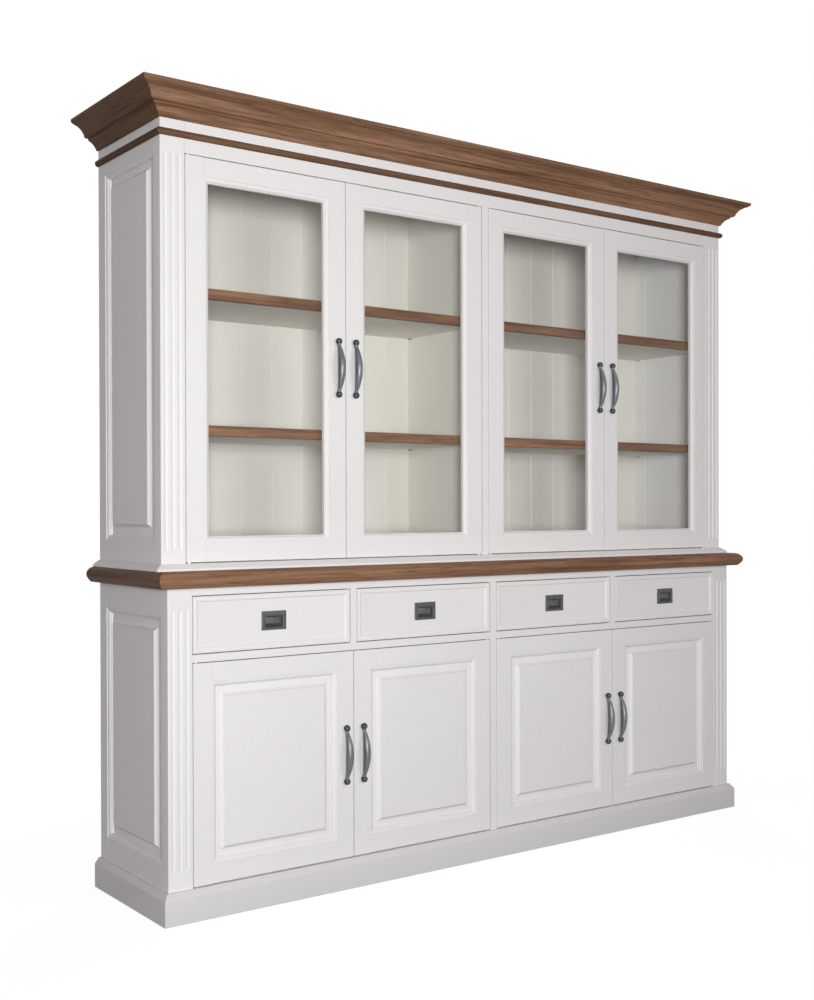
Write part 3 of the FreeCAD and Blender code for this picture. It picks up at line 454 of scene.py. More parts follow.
def wood_finish(name, along, light, dark, pore, roughness):
    """Straight-grained wood: noise drawn out along one axis makes the bands, a finer one the pores, and a
    slow one the drift from board to board."""
    finish = Finish(name)

    def drawn(stretch):
        return tuple(stretch if axis == along else 1.0 for axis in range(3))

    bands = finish.noise(34.0, stretch=drawn(0.045), detail=6.0, roughness=0.62, distortion=0.5)
    fine = finish.noise(150.0, stretch=drawn(0.030), detail=4.0, roughness=0.55)
    pores = finish.noise(420.0, stretch=drawn(0.035), detail=2.0)
    drift = finish.noise(2.6, stretch=drawn(0.45), detail=2.0)
    body = finish.ramp(bands, [(0.30, dark), (0.50, shade(light, 0.78)), (0.66, light)])
    streak = finish.ramp(fine, [(0.36, (0.66, 0.64, 0.62)), (0.56, (1.0, 1.0, 1.0))])
    tone = finish.ramp(drift, [(0.32, (0.94, 0.93, 0.92)), (0.66, (1.05, 1.04, 1.03))])
    body = finish.mix(1.0, body, streak, "MULTIPLY")
    body = finish.mix(1.0, body, tone, "MULTIPLY")
    open_pore = finish.ramp(pores, [(0.60, (0.0, 0.0, 0.0)), (0.70, (0.7, 0.7, 0.7))])
    finish.link(base_color=finish.mix(open_pore, body, (*pore, 1.0)),
                roughness=finish.spread(fine, roughness - 0.08, roughness + 0.10),
                normal=finish.bump(finish.mix(0.5, pores, fine), 0.0005, 0.35))
    finish.surface.inputs["Specular IOR Level"].default_value = WOOD_SPECULAR
    return finish.material


def metal_finish(name, tone, metallic, rough, grain, stretch=(1.0, 1.0, 1.0)):
    """Satin metal, bare or under a dark coat: cloudy tone and roughness, with a fine cast or brushed
    surface in the bump."""
    finish = Finish(name)
    cloud = finish.noise(60.0, detail=4.0)
    surface = finish.noise(grain, stretch=stretch, detail=4.0)
    finish.link(base_color=finish.ramp(cloud, [(0.30, shade(tone, 0.78)), (0.70, shade(tone, 1.12))]),
                roughness=finish.spread(surface, *rough),
                normal=finish.bump(surface, 0.0003, 0.25))
    finish.surface.inputs["Metallic"].default_value = metallic
    return finish.material


def glass_finish(name, tone):
    """Clear pane with a faint unevenness, which lets the lamps' light and matt surfaces' light straight
    through."""
    finish = Finish(name)
    finish.surface.inputs["Base Color"].default_value = (*tone, 1.0)
    finish.surface.inputs["Transmission Weight"].default_value = 1.0
    finish.surface.inputs["IOR"].default_value = PANE_IOR
    wave = finish.noise(3.0, detail=1.0)
    finish.link(roughness=finish.spread(wave, 0.0, PANE_ROUGHNESS))
    clear = finish.add("BsdfTransparent", {"Color": (*tone, 1.0)})
    ray = finish.add("LightPath")
    light = finish.add("Math", operation="MAXIMUM")
    finish.put(light.inputs[0], ray.outputs["Is Shadow Ray"])
    finish.put(light.inputs[1], ray.outputs["Is Diffuse Ray"])
    pane = finish.add("MixShader")
    finish.put(pane.inputs[0], light.outputs[0])
    finish.put(pane.inputs[1], finish.surface.outputs[0])
    finish.put(pane.inputs[2], clear.outputs[0])
    finish.put(finish.tree.nodes["Material Output"].inputs["Surface"], pane.outputs[0])
    return finish.material


def finishes():
    """Every material by name, made on first use."""
    tones = bpy.context.scene.hutch_finishes
    oak_tones = (tones.oak_light, tones.oak_dark, tones.oak_pore)
    bare_tones = (tones.raw_light, tones.raw_dark, tones.raw_pore)

    def oak(name, along, factor):
        return wood_finish(name, along, *[shade(tone, factor) for tone in oak_tones], OAK_ROUGHNESS)

    if not MATERIALS:
        MATERIALS.update(
            paint=paint_finish("satin_white_paint", tones.paint),
            inside_paint=paint_finish("cream_inside_paint", tones.inside_paint),
            # Painted shade: a darker copy of the outside paint for the plinth, standing in for the shade
            # near the floor.
            plinth_paint=paint_finish("plinth_paint", shade(tones.paint, PLINTH_SHARE)),
            oak_x=oak("stained_oak_long", 0, 1.0),
            # Painted shade: a darker copy of the oak for the sides of the mouldings.
            oak_y=oak("stained_oak_deep", 1, OAK_SIDE_SHARE),
            # Painted shade: darker copies of the oak for the bead, at the front and on the sides.
            bead_x=oak("dark_oak_long", 0, BEAD_SHARE),
            bead_y=oak("dark_oak_deep", 1, BEAD_SHARE * OAK_SIDE_SHARE),
            raw_y=wood_finish("bare_wood_deep", 1, *bare_tones, BARE_WOOD_ROUGHNESS),
            pewter=metal_finish("satin_pewter", tones.pewter,
                                metallic=0.5, rough=(0.28, 0.46), grain=500.0),
            dark_pewter=metal_finish("dark_pewter", tones.dark_pewter,
                                     metallic=0.2, rough=(0.36, 0.58), grain=700.0),
            # The ball ends take a darker copy of the bow's pewter.
            black_pewter=metal_finish("black_pewter", tones.black_pewter,
                                      metallic=0.5, rough=(0.30, 0.48), grain=600.0),
            steel=metal_finish("brushed_steel", tones.steel,
                               metallic=1.0, rough=(0.25, 0.42), grain=300.0, stretch=(1.0, 1.0, 0.05)),
            glass=glass_finish("clear_pane", tones.glass))
    return MATERIALS


# Mouldings

PLINTH = outline((0, 0, 0), (20, 0, 1.0), (20, 71, 1.2), (7, 88, 1.2), (0, 88, 0))
BASE = outline((0, 0, 0), (22, 0, 0.5), (22, 6, 1.0), (3, 20, 1.0), (0, 20, 0))
COUNTER_EDGE = outline((0, 0, 0), (28, 0, 0.8), bowed((28, 0), (43, 19), -1.5), (43, 29, 0),
                       bowed((43, 29), (18, 46), -4.5), (0, 46, 0))
BEAD = outline((0, 0, 0), bowed((0, 0), (0, 20), -11, 18))
CORNICE = outline((-20, 0, 0), (6, 0, 0.6), bowed((6, 0), (32, 27), 4), (32, 32, 0.6), (38, 32, 0.6),
                  bowed((38, 32), (45, 39), -2.05), bowed((45, 39), (76, 67), 5),
                  (86, 73, 1.0), (86, 82, 1.2), (-20, 82, 0.8))
BACK_RAIL_DEPTH = 0.020
CORNICE_HEIGHT = 0.082


def moulding_runs(profile, front, foot, gap):
    """Front, left and right runs: the profile (out, up) carried along each straight run, and cut at the
    front corners on the plane where out grows equally along both runs, less half the hairline gap."""
    out, up = profile.T
    x = HALF + out
    y = front - out
    z = up + foot
    back = np.full_like(out, BACK)

    def run(x0, y0, x1, y1):
        return closed_rows(np.stack([np.stack([x0, y0, z], -1), np.stack([x1, y1, z], -1)]))

    side = run(-x, back, -x, y + gap)
    front_run = run(-x + gap, y, x - gap, y)
    # The side runs take the second finish, which for the oak mouldings is a darker copy with painted shade.
    return [(*front_run, 0), (*side, 1), (*mirrored([side])[0], 1)]


def bar_along_x(section, x0, x1):
    """Straight bar: a closed section (depth, height) carried along X."""
    rows = [np.column_stack([np.full(len(section), x), section]) for x in (x0, x1)]
    return closed_rows(np.stack(rows))


class HUTCH_OT_mouldings(bpy.types.Operator):
    """Plinth, base moulding, counter edge, bead and cornice, mitred round the front corners"""

    bl_idname = "hutch.mouldings"
    bl_label = "Mouldings"

    def execute(self, context):
        looks = finishes()
        gap = context.scene.hutch_joinery.joint_gap / 2
        paints = [looks["paint"], looks["paint"]]
        # Painted shade: the plinth takes the darker copy of the outside paint.
        plinths = [looks["plinth_paint"], looks["plinth_paint"]]
        # Painted shade: the side runs of the oak mouldings take the darker copy of the oak.
        oaks = [looks["oak_x"], looks["oak_y"]]
        # Painted shade: the bead takes darker copies of the oak.
        beads = [looks["bead_x"], looks["bead_y"]]
        for name, node, profile, front, foot, slot, coats in (
                ("painted_plinth", "plinth", PLINTH, LOWER_FRONT, 0.0, PAINTED, plinths),
                ("painted_base", "upper_base_moulding", BASE, UPPER_FRONT, COUNTER_HEIGHT, PAINTED, paints),
                ("oak_counter_edge", "counter_edging", COUNTER_EDGE, LOWER_FRONT, LOWER_TOP, STAINED, oaks),
                ("oak_bead", "bead_moulding", BEAD, UPPER_FRONT, BEAD_FOOT, STAINED, beads),
                ("oak_cornice", "cornice", CORNICE, UPPER_FRONT, CASE_TOP, STAINED, oaks)):
            shells = moulding_runs(profile, front, foot, gap)
            if node == "cornice":
                inner = BACK - BACK_RAIL_DEPTH
                top = foot + CORNICE_HEIGHT
                half = HALF - BACK_RAIL_DEPTH - gap
                section = np.array([[inner, foot], [BACK, foot], [BACK, top], [inner, top]])
                shells.append((*bar_along_x(section, -half, half), 0))
            add_piece(name, shells, "carcass", coats, [node])
        return {"FINISHED"}


# Pilasters

FLUTE_ROWS = 11
FLUTE_COLUMNS = 15
FLUTE_END_SHARE = 0.12


def pilaster_shell(foot, top, front, flute_foot, flute_top, sizes):
    """Fluted board: the board's outline in plan carried upwards. Across each flute the depth is the flute's
    circle, sqrt(radius squared - across squared - past squared) less its centre's distance from the face,
    where past is how far the height lies beyond the flute's last full section; the sample lines draw in
    with the flute's round ends."""
    width = sizes.pilaster_width
    half = sizes.flute_width / 2
    radius = (half ** 2 + sizes.flute_sink ** 2) / (2 * sizes.flute_sink)
    low = flute_foot + radius
    high = flute_top - radius
    turn = np.linspace(0.0, math.pi / 2, FLUTE_ROWS)
    z = np.concatenate([[foot], low - half * np.cos(turn), high + half * np.sin(turn), [top]])
    past = np.maximum(np.maximum(low - z, z - high), 0.0)
    draw = np.sqrt(np.maximum(half ** 2 - past ** 2, (FLUTE_END_SHARE * half) ** 2))
    across = np.linspace(-1.0, 1.0, FLUTE_COLUMNS)[None, :] * draw[:, None]
    ball = np.sqrt(np.maximum(radius ** 2 - across ** 2 - past[:, None] ** 2, 0.0))
    sink = np.maximum(ball - (radius - sizes.flute_sink), 0.0)
    centres = width / 2 + (np.arange(sizes.flutes) - (sizes.flutes - 1) / 2) * sizes.flute_pitch
    flute_x = (centres[None, :, None] + across[:, None, :]).reshape(len(z), -1)
    flute_y = np.repeat(sink[:, None, :], sizes.flutes, axis=1).reshape(len(z), -1)
    edge = eased([[0.0, sizes.thickness], [0.0, 0.0], [width, 0.0], [width, sizes.thickness]],
                 np.array([0.0, sizes.arris, sizes.arris, 0.0]))
    before, after = np.split(edge, [len(edge) // 2])

    def plan(axis, flute):
        repeated = [np.tile(part[:, axis], (len(z), 1)) for part in (before, after)]
        return np.concatenate([repeated[0], flute, repeated[1]], 1)

    plan_x = plan(0, flute_x)
    plan_z = np.broadcast_to(z[:, None], plan_x.shape)
    return closed_rows(np.stack([plan_x - HALF, plan(1, flute_y) + front, plan_z], -1))


class HUTCH_OT_pilasters(bpy.types.Operator):
    """Fluted boards at the front corners of both cases"""

    bl_idname = "hutch.pilasters"
    bl_label = "Pilasters"

    def execute(self, context):
        sizes = context.scene.hutch_joinery
        lower = pilaster_shell(0.0, LOWER_TOP, LOWER_FRONT, sizes.lower_flute_foot,
                               LOWER_TOP - sizes.lower_flute_head, sizes)
        upper = pilaster_shell(COUNTER_HEIGHT, CASE_TOP, UPPER_FRONT,
                               COUNTER_HEIGHT + sizes.upper_flute_foot,
                               CASE_TOP - sizes.upper_flute_head, sizes)
        shells = [lower, upper]
        add_piece("fluted_pilasters", shells + mirrored(shells), "carcass", finishes()["paint"],
                  ["pilasters"])
        return {"FINISHED"}


# Frames and panels, made with the face at depth 0 and the lower left corner at the origin

ARRIS_SHARE = 0.29
GLAZING_ARRIS = 0.0005
PANEL_STEPS = 8

# Moulding round an opening, as shares of its width and of its depth
STEP_WIDTH_SHARE = 0.04
ARC_START_SHARE = (0.13, 0.03)
ARC_END_SHARE = (0.82, 0.80)
ARC_SAG_SHARE = 0.10
ARC_STEPS = 8
FALL_END_SHARE = (0.86, 0.94)


def sticking(width, depth, quirk):
    """Moulding from a flat down to a lip (across, deep): a small step down, an arc that bulges outwards
    over most of the width, a short fall and a narrow fillet at the lip."""
    size = np.array([width, depth])
    step = (STEP_WIDTH_SHARE * width, quirk)
    start = ARC_START_SHARE * size + (0.0, quirk)
    arc = bowed(start, ARC_END_SHARE * size, -ARC_SAG_SHARE * width, ARC_STEPS)
    return np.concatenate([[step, start], arc, [FALL_END_SHARE * size, size]])


def frame_profile(flat, glazed, sizes):
    """Section of a stile or rail (distance in from the outer edge, depth), and the numbers of the two
    points where its flat ends, at the front and at the back."""
    r = sizes.arris
    lip_in = flat + sizes.moulding_width
    lip_back = sizes.rebate
    slot_in = lip_in - sizes.groove_depth
    groove_back = lip_back + sizes.groove_width
    moulding = np.array([flat, 0.0]) + sticking(sizes.moulding_width, sizes.moulding_depth, sizes.quirk)
    arris = [(0, r), (ARRIS_SHARE * r, ARRIS_SHARE * r), (r, 0)]
    points = [(0, sizes.thickness), *arris, (flat, 0), *moulding.tolist()]
    points += [(lip_in, lip_back), (slot_in, lip_back)]
    if glazed:
        points += [(slot_in, sizes.thickness)]
    else:
        points += [(slot_in, groove_back), (lip_in, groove_back), (lip_in, sizes.thickness)]
    points.append((flat, sizes.thickness))
    return np.array(points), (points.index((flat, 0)), len(points) - 1)


def member_shell(profile, split, flat, flat_ends, mitre_ends):
    """Stile or rail as one closed surface: its section carried straight along it. Points on the flat run
    to the flat ends, and points past it stop on the mitre, where they draw in as far as they lie past the
    flat. Columns of the result are distance in, depth and distance along."""
    i, j = split
    order = np.r_[0:i + 1, i:j + 1, j:len(profile)]
    size = len(order)
    number = np.arange(size)
    mitred = (number > i) & (number < j + 2)
    inward, depth = profile[order].T
    past = inward - flat
    start = np.where(mitred, mitre_ends[0] + past, flat_ends[0])
    end = np.where(mitred, mitre_ends[1] - past, flat_ends[1])
    verts = np.concatenate([np.stack([inward, depth, along], -1) for along in (start, end)])
    ahead = np.roll(number, -1)
    quads = np.stack([number, ahead, ahead + size, number + size], -1)
    faces = np.delete(quads, [i - 1, i, j + 1, j + 2], 0).tolist()
    for first, middle, last in ((i - 1, i, i + 1), (j + 1, j + 2, (j + 3) % size)):
        faces.append([first, middle, last, last + size, middle + size, first + size])
    for base in (0, size):
        faces.append((np.r_[0:i + 1, j + 2:size] + base).tolist())
        faces.append((np.array([i, i + 1, j + 1, j + 2]) + base).tolist())
        faces.append((np.arange(i + 1, j + 2) + base).tolist())
    return verts, faces


def turned_member(shell, upright, far):
    """Stile or rail put in its frame: upright or level, and from the near or the far edge."""
    (inward, depth, along), faces = shell[0].T, shell[1]
    inward = inward if far is None else far - inward
    columns = [inward, depth, along] if upright else [along, depth, inward]
    return np.stack(columns, -1), faces


def frame_shells(width, height, flats, glazed, sizes):
    """Two full-height stiles, two rails between them and, for glass, four mitred beads behind it."""
    left, right, low, high = flats
    gap = sizes.joint_gap
    rail_ends = (left + gap, width - right - gap)
    stile_ends = (low, height - high)
    shells = []
    for flat, upright, far in ((left, True, None), (right, True, width),
                               (low, False, None), (high, False, height)):
        profile, split = frame_profile(flat, glazed, sizes)
        ends = ((0.0, height), stile_ends) if upright else (rail_ends, rail_ends)
        shells.append(turned_member(member_shell(profile, split, flat, *ends), upright, far))
        if glazed:
            inner = flat + sizes.moulding_width
            outer = inner - sizes.groove_depth + gap
            glass_back = sizes.rebate + sizes.glass_thickness
            corners = [[outer, glass_back], [inner, glass_back], [inner, sizes.thickness],
                       [outer, sizes.thickness]]
            section = eased(corners, np.array([0.0, 0.0, sizes.bead_round, GLAZING_ARRIS]))
            first, last = stile_ends if upright else (left, width - right)
            past = section[:, 0] - flat
            bead_ends = (first + past + gap / 2, last - past - gap / 2)
            rows = [np.column_stack([section, along]) for along in bead_ends]
            shells.append(turned_member(closed_rows(np.stack(rows)), upright, far))
    return shells


def panel_shell(width, height, flats, slope, sizes):
    """Raised panel as rectangles one inside another: the tongue in the groove, a gentle slope, a hollow
    step whose height grows with the square of the way across it, and the level field."""
    left, right, low, high = flats
    moulding = sizes.moulding_width
    lip = (left + moulding, width - right - moulding, low + moulding, height - high - moulding)
    seat = sizes.rebate + sizes.play
    tongue = sizes.groove_depth - sizes.play
    tongue_back = seat + sizes.groove_width - 2 * sizes.play
    foot = seat - sizes.slope_rise
    way = np.linspace(0.0, 1.0, PANEL_STEPS)
    step = sizes.play + slope + sizes.step_width * way
    by = np.concatenate([[-tongue, -tongue, sizes.play], step])
    depth = np.concatenate([[tongue_back, seat, seat], foot - (foot - sizes.field_sink) * way ** 2])
    return closed_rows(ring_rows(inset(lip, by), depth))


def to_left_side(shells, foot):
    """Turns pieces made for the front so that they face left, their first edge at the back."""
    return [(np.stack([verts[:, 1] - HALF, BACK - verts[:, 0], verts[:, 2] + foot], -1), faces)
            for verts, faces in shells]


class HUTCH_OT_sides(bpy.types.Operator):
    """Framed and panelled sides of both cases"""

    bl_idname = "hutch.sides"
    bl_label = "Sides"

    def execute(self, context):
        sizes = context.scene.hutch_joinery
        frames = []
        panels = []
        lower_rails = (sizes.lower_side_low_rail, sizes.lower_side_top_rail)
        upper_rails = (sizes.upper_side_low_rail, sizes.upper_side_top_rail)
        for foot, top, front, rails in ((0.0, LOWER_TOP, LOWER_FRONT, lower_rails),
                                        (COUNTER_HEIGHT, CASE_TOP, UPPER_FRONT, upper_rails)):
            size = (BACK - front - sizes.thickness, top - foot)
            flats = (sizes.side_back_stile, sizes.side_front_stile, *rails)
            frames += to_left_side(frame_shells(*size, flats, False, sizes), foot)
            panels += to_left_side([panel_shell(*size, flats, sizes.side_slope, sizes)], foot)
        paint = finishes()["paint"]
        add_piece("side_stiles_and_rails", frames + mirrored(frames), "carcass", paint,
                  ["side_frames"], FINE_CREASE)
        add_piece("side_raised_panels", panels + mirrored(panels), "carcass", paint,
                  ["side_panels"], FINE_CREASE)
        return {"FINISHED"}


class HUTCH_OT_doors(bpy.types.Operator):
    """Glazed upper doors and panelled lower doors"""

    bl_idname = "hutch.doors"
    bl_label = "Doors"

    def execute(self, context):
        sizes = context.scene.hutch_joinery
        looks = finishes()
        fit = sizes.fit
        flats = (sizes.door_stile, sizes.door_stile, sizes.door_low_rail, sizes.door_top_rail)
        flats = [flat - fit for flat in flats]
        for row, glazed in (("upper", True), ("lower", False)):
            for number in NUMBERS:
                body = f"{row}_door_{number}"
                node = f"{body}_frame"
                lo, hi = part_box(node)
                size = (hi.x - lo.x - 2 * fit, hi.z - lo.z - 2 * fit)
                corner = (lo.x + fit, lo.y, lo.z + fit)
                shells = [carried(shell, corner) for shell in frame_shells(*size, flats, glazed, sizes)]
                add_piece(f"{body}_stiles_and_rails", shells, body, looks["paint"], [node],
                          FINE_CREASE)
                if not glazed:
                    panel = carried(panel_shell(*size, flats, sizes.door_slope, sizes), corner)
                    add_piece(f"{body}_raised_panel", [panel], body, looks["paint"],
                              [f"{body}_panel"], FINE_CREASE)
        return {"FINISHED"}


# Fittings

# Screw heads: shares of their radius, of their height and of their rim's height
SLOT_SHARE = 0.15
SLOT_FLOOR_SHARE = 0.97
HEAD_RIM_SHARE = 0.30
SLOT_FLOOR_RISE = 0.8
HEAD_ROWS = 13
HEAD_COLUMNS = 7
HEAD_SIDES = 24

# Turns of the screws' slots, in radians
HANDLE_SLOT_TURNS = (0.5, 1.8)
PULL_SLOT_TURNS = (0.7, 1.6, 2.5, 3.4)

# Bow handle: where its bow, its swell and its neck's flare begin, as shares of half its span
BOW_OUT_SHARE = 0.86
BOW_SWELL_SHARE = 0.80
NECK_FLARE_START = 0.80
NECK_FLARE_RAMP = 0.12

# Bow handle: form of the bow, what its neck gains, and how deep its end sits in a ball, as a share
NECK_FLARE = 0.25
BOW_POWER = 0.9
BOW_END_SINK = 0.4
BOW_ROWS = 61
BOW_SIDES = 32
BALL_ROWS = 19
SCREW_SINK = 0.0005
PIN_SIDES = 16

# Foot below a ball: radius and height, as shares of the foot's radius and the ball's stand-off
FOOT_PROFILE = ((0.0, 0.0), (1.0, 0.0), (1.0, 0.12), (0.86, 0.22), (0.80, 0.40), (0.86, 0.62),
                (0.0, 0.62))


def pin_shell(diameter, start, end, centre, axis):
    """Round pin with flat ends: a turned surface of one radius between two heights."""
    radius = diameter / 2
    return turned([0.0, radius, radius, 0.0], [start, start, end, end], centre, axis, PIN_SIDES)


def slotted_head(radius, height, centre, out, turn):
    """Slotted screw head: two half domes beside the slot, each with rows across the slot's length whose
    height falls with the square of the distance from the middle, on a disc that is the slot's floor."""
    rim = HEAD_RIM_SHARE * height
    slot = SLOT_SHARE * radius
    reach = math.sqrt(radius ** 2 - slot ** 2)
    z = np.linspace(-reach, reach, HEAD_ROWS)[:, None]
    edge = np.sqrt(np.maximum(radius ** 2 - z ** 2, slot ** 2))
    x = slot + np.linspace(0.0, 1.0, HEAD_COLUMNS)[None, :] * (edge - slot)
    dome = rim + (height - rim) * (1.0 - (x ** 2 + z ** 2) / radius ** 2)
    rows_x = np.concatenate([x, x[:, -1:], x[:, :1]], 1)
    rows_h = np.concatenate([dome, np.zeros((len(z), 2))], 1)
    rows_z = np.broadcast_to(z, rows_x.shape)
    shells = []
    for way in (1.0, -1.0):
        across = way * rows_x * math.cos(turn) - rows_z * math.sin(turn)
        upward = way * rows_x * math.sin(turn) + rows_z * math.cos(turn)
        shells.append(closed_rows(np.stack([across, out * rows_h, upward], -1) + np.asarray(centre)))
    disc = SLOT_FLOOR_SHARE * radius
    top = out * SLOT_FLOOR_RISE * rim
    return shells + [turned([0.0, disc, disc, 0.0], [0.0, 0.0, top, top], centre, 1, HEAD_SIDES)]


def smooth_step(way):
    """Rise from 0 to 1 that starts and ends level: three times the square less twice the cube."""
    way = np.clip(way, 0.0, 1.0)
    return way * way * (3.0 - 2.0 * way)


def handle_shells(x, face, z, sizes, thickness):
    """Bow handle: level circles whose centre and radius follow the height. One less the square of the
    height, as a share of where the bow begins, raised to the bow's power, times the rise, is added to the
    stand-off and, from a little further in, times the swell, to the neck's diameter. A short smooth step
    flares the neck beside a ball. The ball ends are spheres."""
    reach = sizes.span / 2
    ball = sizes.ball / 2
    up = np.linspace(-1.0, 1.0, BOW_ROWS) * (reach - BOW_END_SINK * ball)
    way = np.abs(up) / reach
    swell = np.maximum(1 - (way / BOW_SWELL_SHARE) ** 2, 0.0) ** BOW_POWER
    rise = np.maximum(1 - (way / BOW_OUT_SHARE) ** 2, 0.0) ** BOW_POWER
    flare = 1 + NECK_FLARE * smooth_step((way - NECK_FLARE_START) / NECK_FLARE_RAMP)
    radius = (sizes.neck + (sizes.belly - sizes.neck) * swell) / 2 * flare
    angle = np.linspace(0.0, 2 * math.pi, BOW_SIDES, endpoint=False)[None, :]
    depth = face - sizes.ball_out - sizes.bow_rise * rise
    rows = np.stack([x + radius[:, None] * np.cos(angle), depth[:, None] + radius[:, None] * np.sin(angle),
                     np.broadcast_to((z + up)[:, None], (len(up), angle.size))], -1)
    shells = [closed_rows(rows)]
    foot_radii, foot_heights = np.array(FOOT_PROFILE).T * [[sizes.foot / 2], [-sizes.ball_out]]
    turn = np.linspace(0.0, math.pi, BALL_ROWS)
    for end, slot_turn in zip((-reach, reach), HANDLE_SLOT_TURNS):
        seat = (x, face, z + end)
        inside = (x, face + thickness, z + end)
        shells.append((*turned(ball * np.sin(turn), -sizes.ball_out - ball * np.cos(turn), seat, 1), 1))
        shells.append(turned(foot_radii, foot_heights, seat, 1))
        shells.append(pin_shell(sizes.screw, SCREW_SINK, thickness, seat, 1))
        shells += slotted_head(sizes.screw_head / 2, sizes.screw_head_height, inside, 1.0, slot_turn)
    return shells


class HUTCH_OT_handles(bpy.types.Operator):
    """Bow handles with ball ends on all the doors"""

    bl_idname = "hutch.handles"
    bl_label = "Bow handles"

    def execute(self, context):
        sizes = context.scene.hutch_fittings
        thickness = context.scene.hutch_joinery.thickness
        metals = [finishes()["pewter"], finishes()["black_pewter"]]
        for row, front in (("upper", UPPER_FRONT), ("lower", LOWER_FRONT)):
            for number in NUMBERS:
                body = f"{row}_door_{number}"
                node = f"{body}_handle"
                lo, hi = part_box(node)
                shells = handle_shells((lo.x + hi.x) / 2, front, (lo.z + hi.z) / 2, sizes, thickness)
                add_piece(f"{body}_bow_handle", shells, body, metals, [node], HANDLE_CREASE)
        return {"FINISHED"}


def pull_rects(node, sizes):
    """Plate and pocket of one flush pull."""
    lo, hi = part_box(node)
    x = (lo.x + hi.x) / 2
    z = (lo.z + hi.z) / 2
    plate = (x - sizes.plate_width / 2, x + sizes.plate_width / 2,
             z - sizes.plate_height / 2, z + sizes.plate_height / 2)
    middle = z - sizes.pocket_drop
    pocket = (x - sizes.pocket_width / 2, x + sizes.pocket_width / 2,
              middle - sizes.pocket_height / 2, middle + sizes.pocket_height / 2)
    return plate, pocket


DRAWER_QUIRK_SHARE = 0.7


def drawer_shell(rect, face, pocket, sizes, fittings):
    """Drawer front as rectangles one inside another, from its back round the arris, over lip and moulding
    to the field, and into the mortise."""
    r = sizes.arris
    across, deep = sticking(sizes.drawer_moulding, sizes.drawer_sink, DRAWER_QUIRK_SHARE * sizes.quirk).T
    by = [0.0, 0.0, ARRIS_SHARE * r, r, sizes.drawer_lip, *(sizes.drawer_lip + across)]
    depth = [sizes.thickness, r, ARRIS_SHARE * r, 0.0, 0.0, *deep]
    mortise = inset(pocket, np.array([-fittings.cup_wall - fittings.cup_play]))
    floor = (sizes.drawer_sink - fittings.plate_proud + fittings.pocket_depth
             + fittings.cup_wall + fittings.cup_play)
    rects = np.concatenate([inset(rect, by), mortise, mortise])
    return closed_rows(ring_rows(rects, face + np.array(depth + [sizes.drawer_sink, floor])))


class HUTCH_OT_drawers(bpy.types.Operator):
    """Drawer fronts with a moulded border and the mortise for the pull's cup"""

    bl_idname = "hutch.drawers"
    bl_label = "Drawer fronts"

    def execute(self, context):
        sizes = context.scene.hutch_joinery
        fittings = context.scene.hutch_fittings
        for number in NUMBERS:
            body = f"drawer_{number}"
            lo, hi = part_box(f"{body}_front")
            rect = inset((lo.x, hi.x, lo.z, hi.z), np.array([sizes.fit]))[0]
            shell = drawer_shell(rect, lo.y, pull_rects(f"{body}_pull", fittings)[1], sizes, fittings)
            add_piece(f"{body}_painted_front", [shell], body, finishes()["paint"],
                      [f"{body}_front"], FINE_CREASE)
        return {"FINISHED"}


# Raised rim round a pull's pocket, from outside in: way out as a share of its width, rise as a share of
# its height, and the radius of its corners
RIM_OUT_SHARES = (1.0, 0.82, 0.30, 0.06, 0.0)
RIM_RISE_SHARES = (0.0, 1.0, 1.0, 0.35, -0.6)
RIM_RADII = (0.003, 0.003, 0.0024, 0.002, 0.002)
CUP_RADIUS = 0.002
PLATE_RADIUS = 0.003
BEVEL_RADIUS = 0.0025
BEVEL_START_SHARE = 0.5
POCKET_FLOOR_RADIUS = 0.0015


def pull_shells(plate, pocket, field, sizes):
    """Flush pull as rounded rectangles one inside another: the back of the cup, the bevelled plate, the
    raised rim and the pocket with its sloping lower wall; then the four screws."""
    face = field - sizes.plate_proud
    floor = face + sizes.pocket_depth
    cup = inset(pocket, np.full(2, -sizes.cup_wall))
    border = inset(plate, [0.0, 0.0, sizes.plate_bevel])
    collar = inset(pocket, -np.array(RIM_OUT_SHARES) * sizes.rim_width)
    bottom = np.array(pocket) + np.array([0.0, 0.0, sizes.scoop, 0.0])
    rects = np.concatenate([cup, border, collar, [bottom]])
    bevel_start = face + BEVEL_START_SHARE * sizes.plate_proud
    depths = np.array([floor + sizes.cup_wall, field, field, bevel_start, face,
                       *(face - np.array(RIM_RISE_SHARES) * sizes.rim_height), floor])
    radii = np.array([CUP_RADIUS, CUP_RADIUS, PLATE_RADIUS, PLATE_RADIUS, BEVEL_RADIUS, *RIM_RADII,
                      POCKET_FLOOR_RADIUS])
    shells = [closed_rows(rounded_rows(rects, depths, radii))]
    x0, x1, z0, z1 = inset(plate, np.array([sizes.pull_screw_inset]))[0]
    head = (sizes.pull_screw_head / 2, sizes.pull_screw_height)
    for x, z, turn in zip((x0, x1, x0, x1), (z0, z0, z1, z1), PULL_SLOT_TURNS):
        shells += slotted_head(*head, (x, face, z), -1.0, turn)
    return shells


TONGUE_END_SHARES = (0.80, 0.97)
TONGUE_END_WIDTH = 0.0006
TONGUE_HEAD_STEPS = 9
TONGUE_BAR_STEPS = 21
PIN_SINK = 0.001


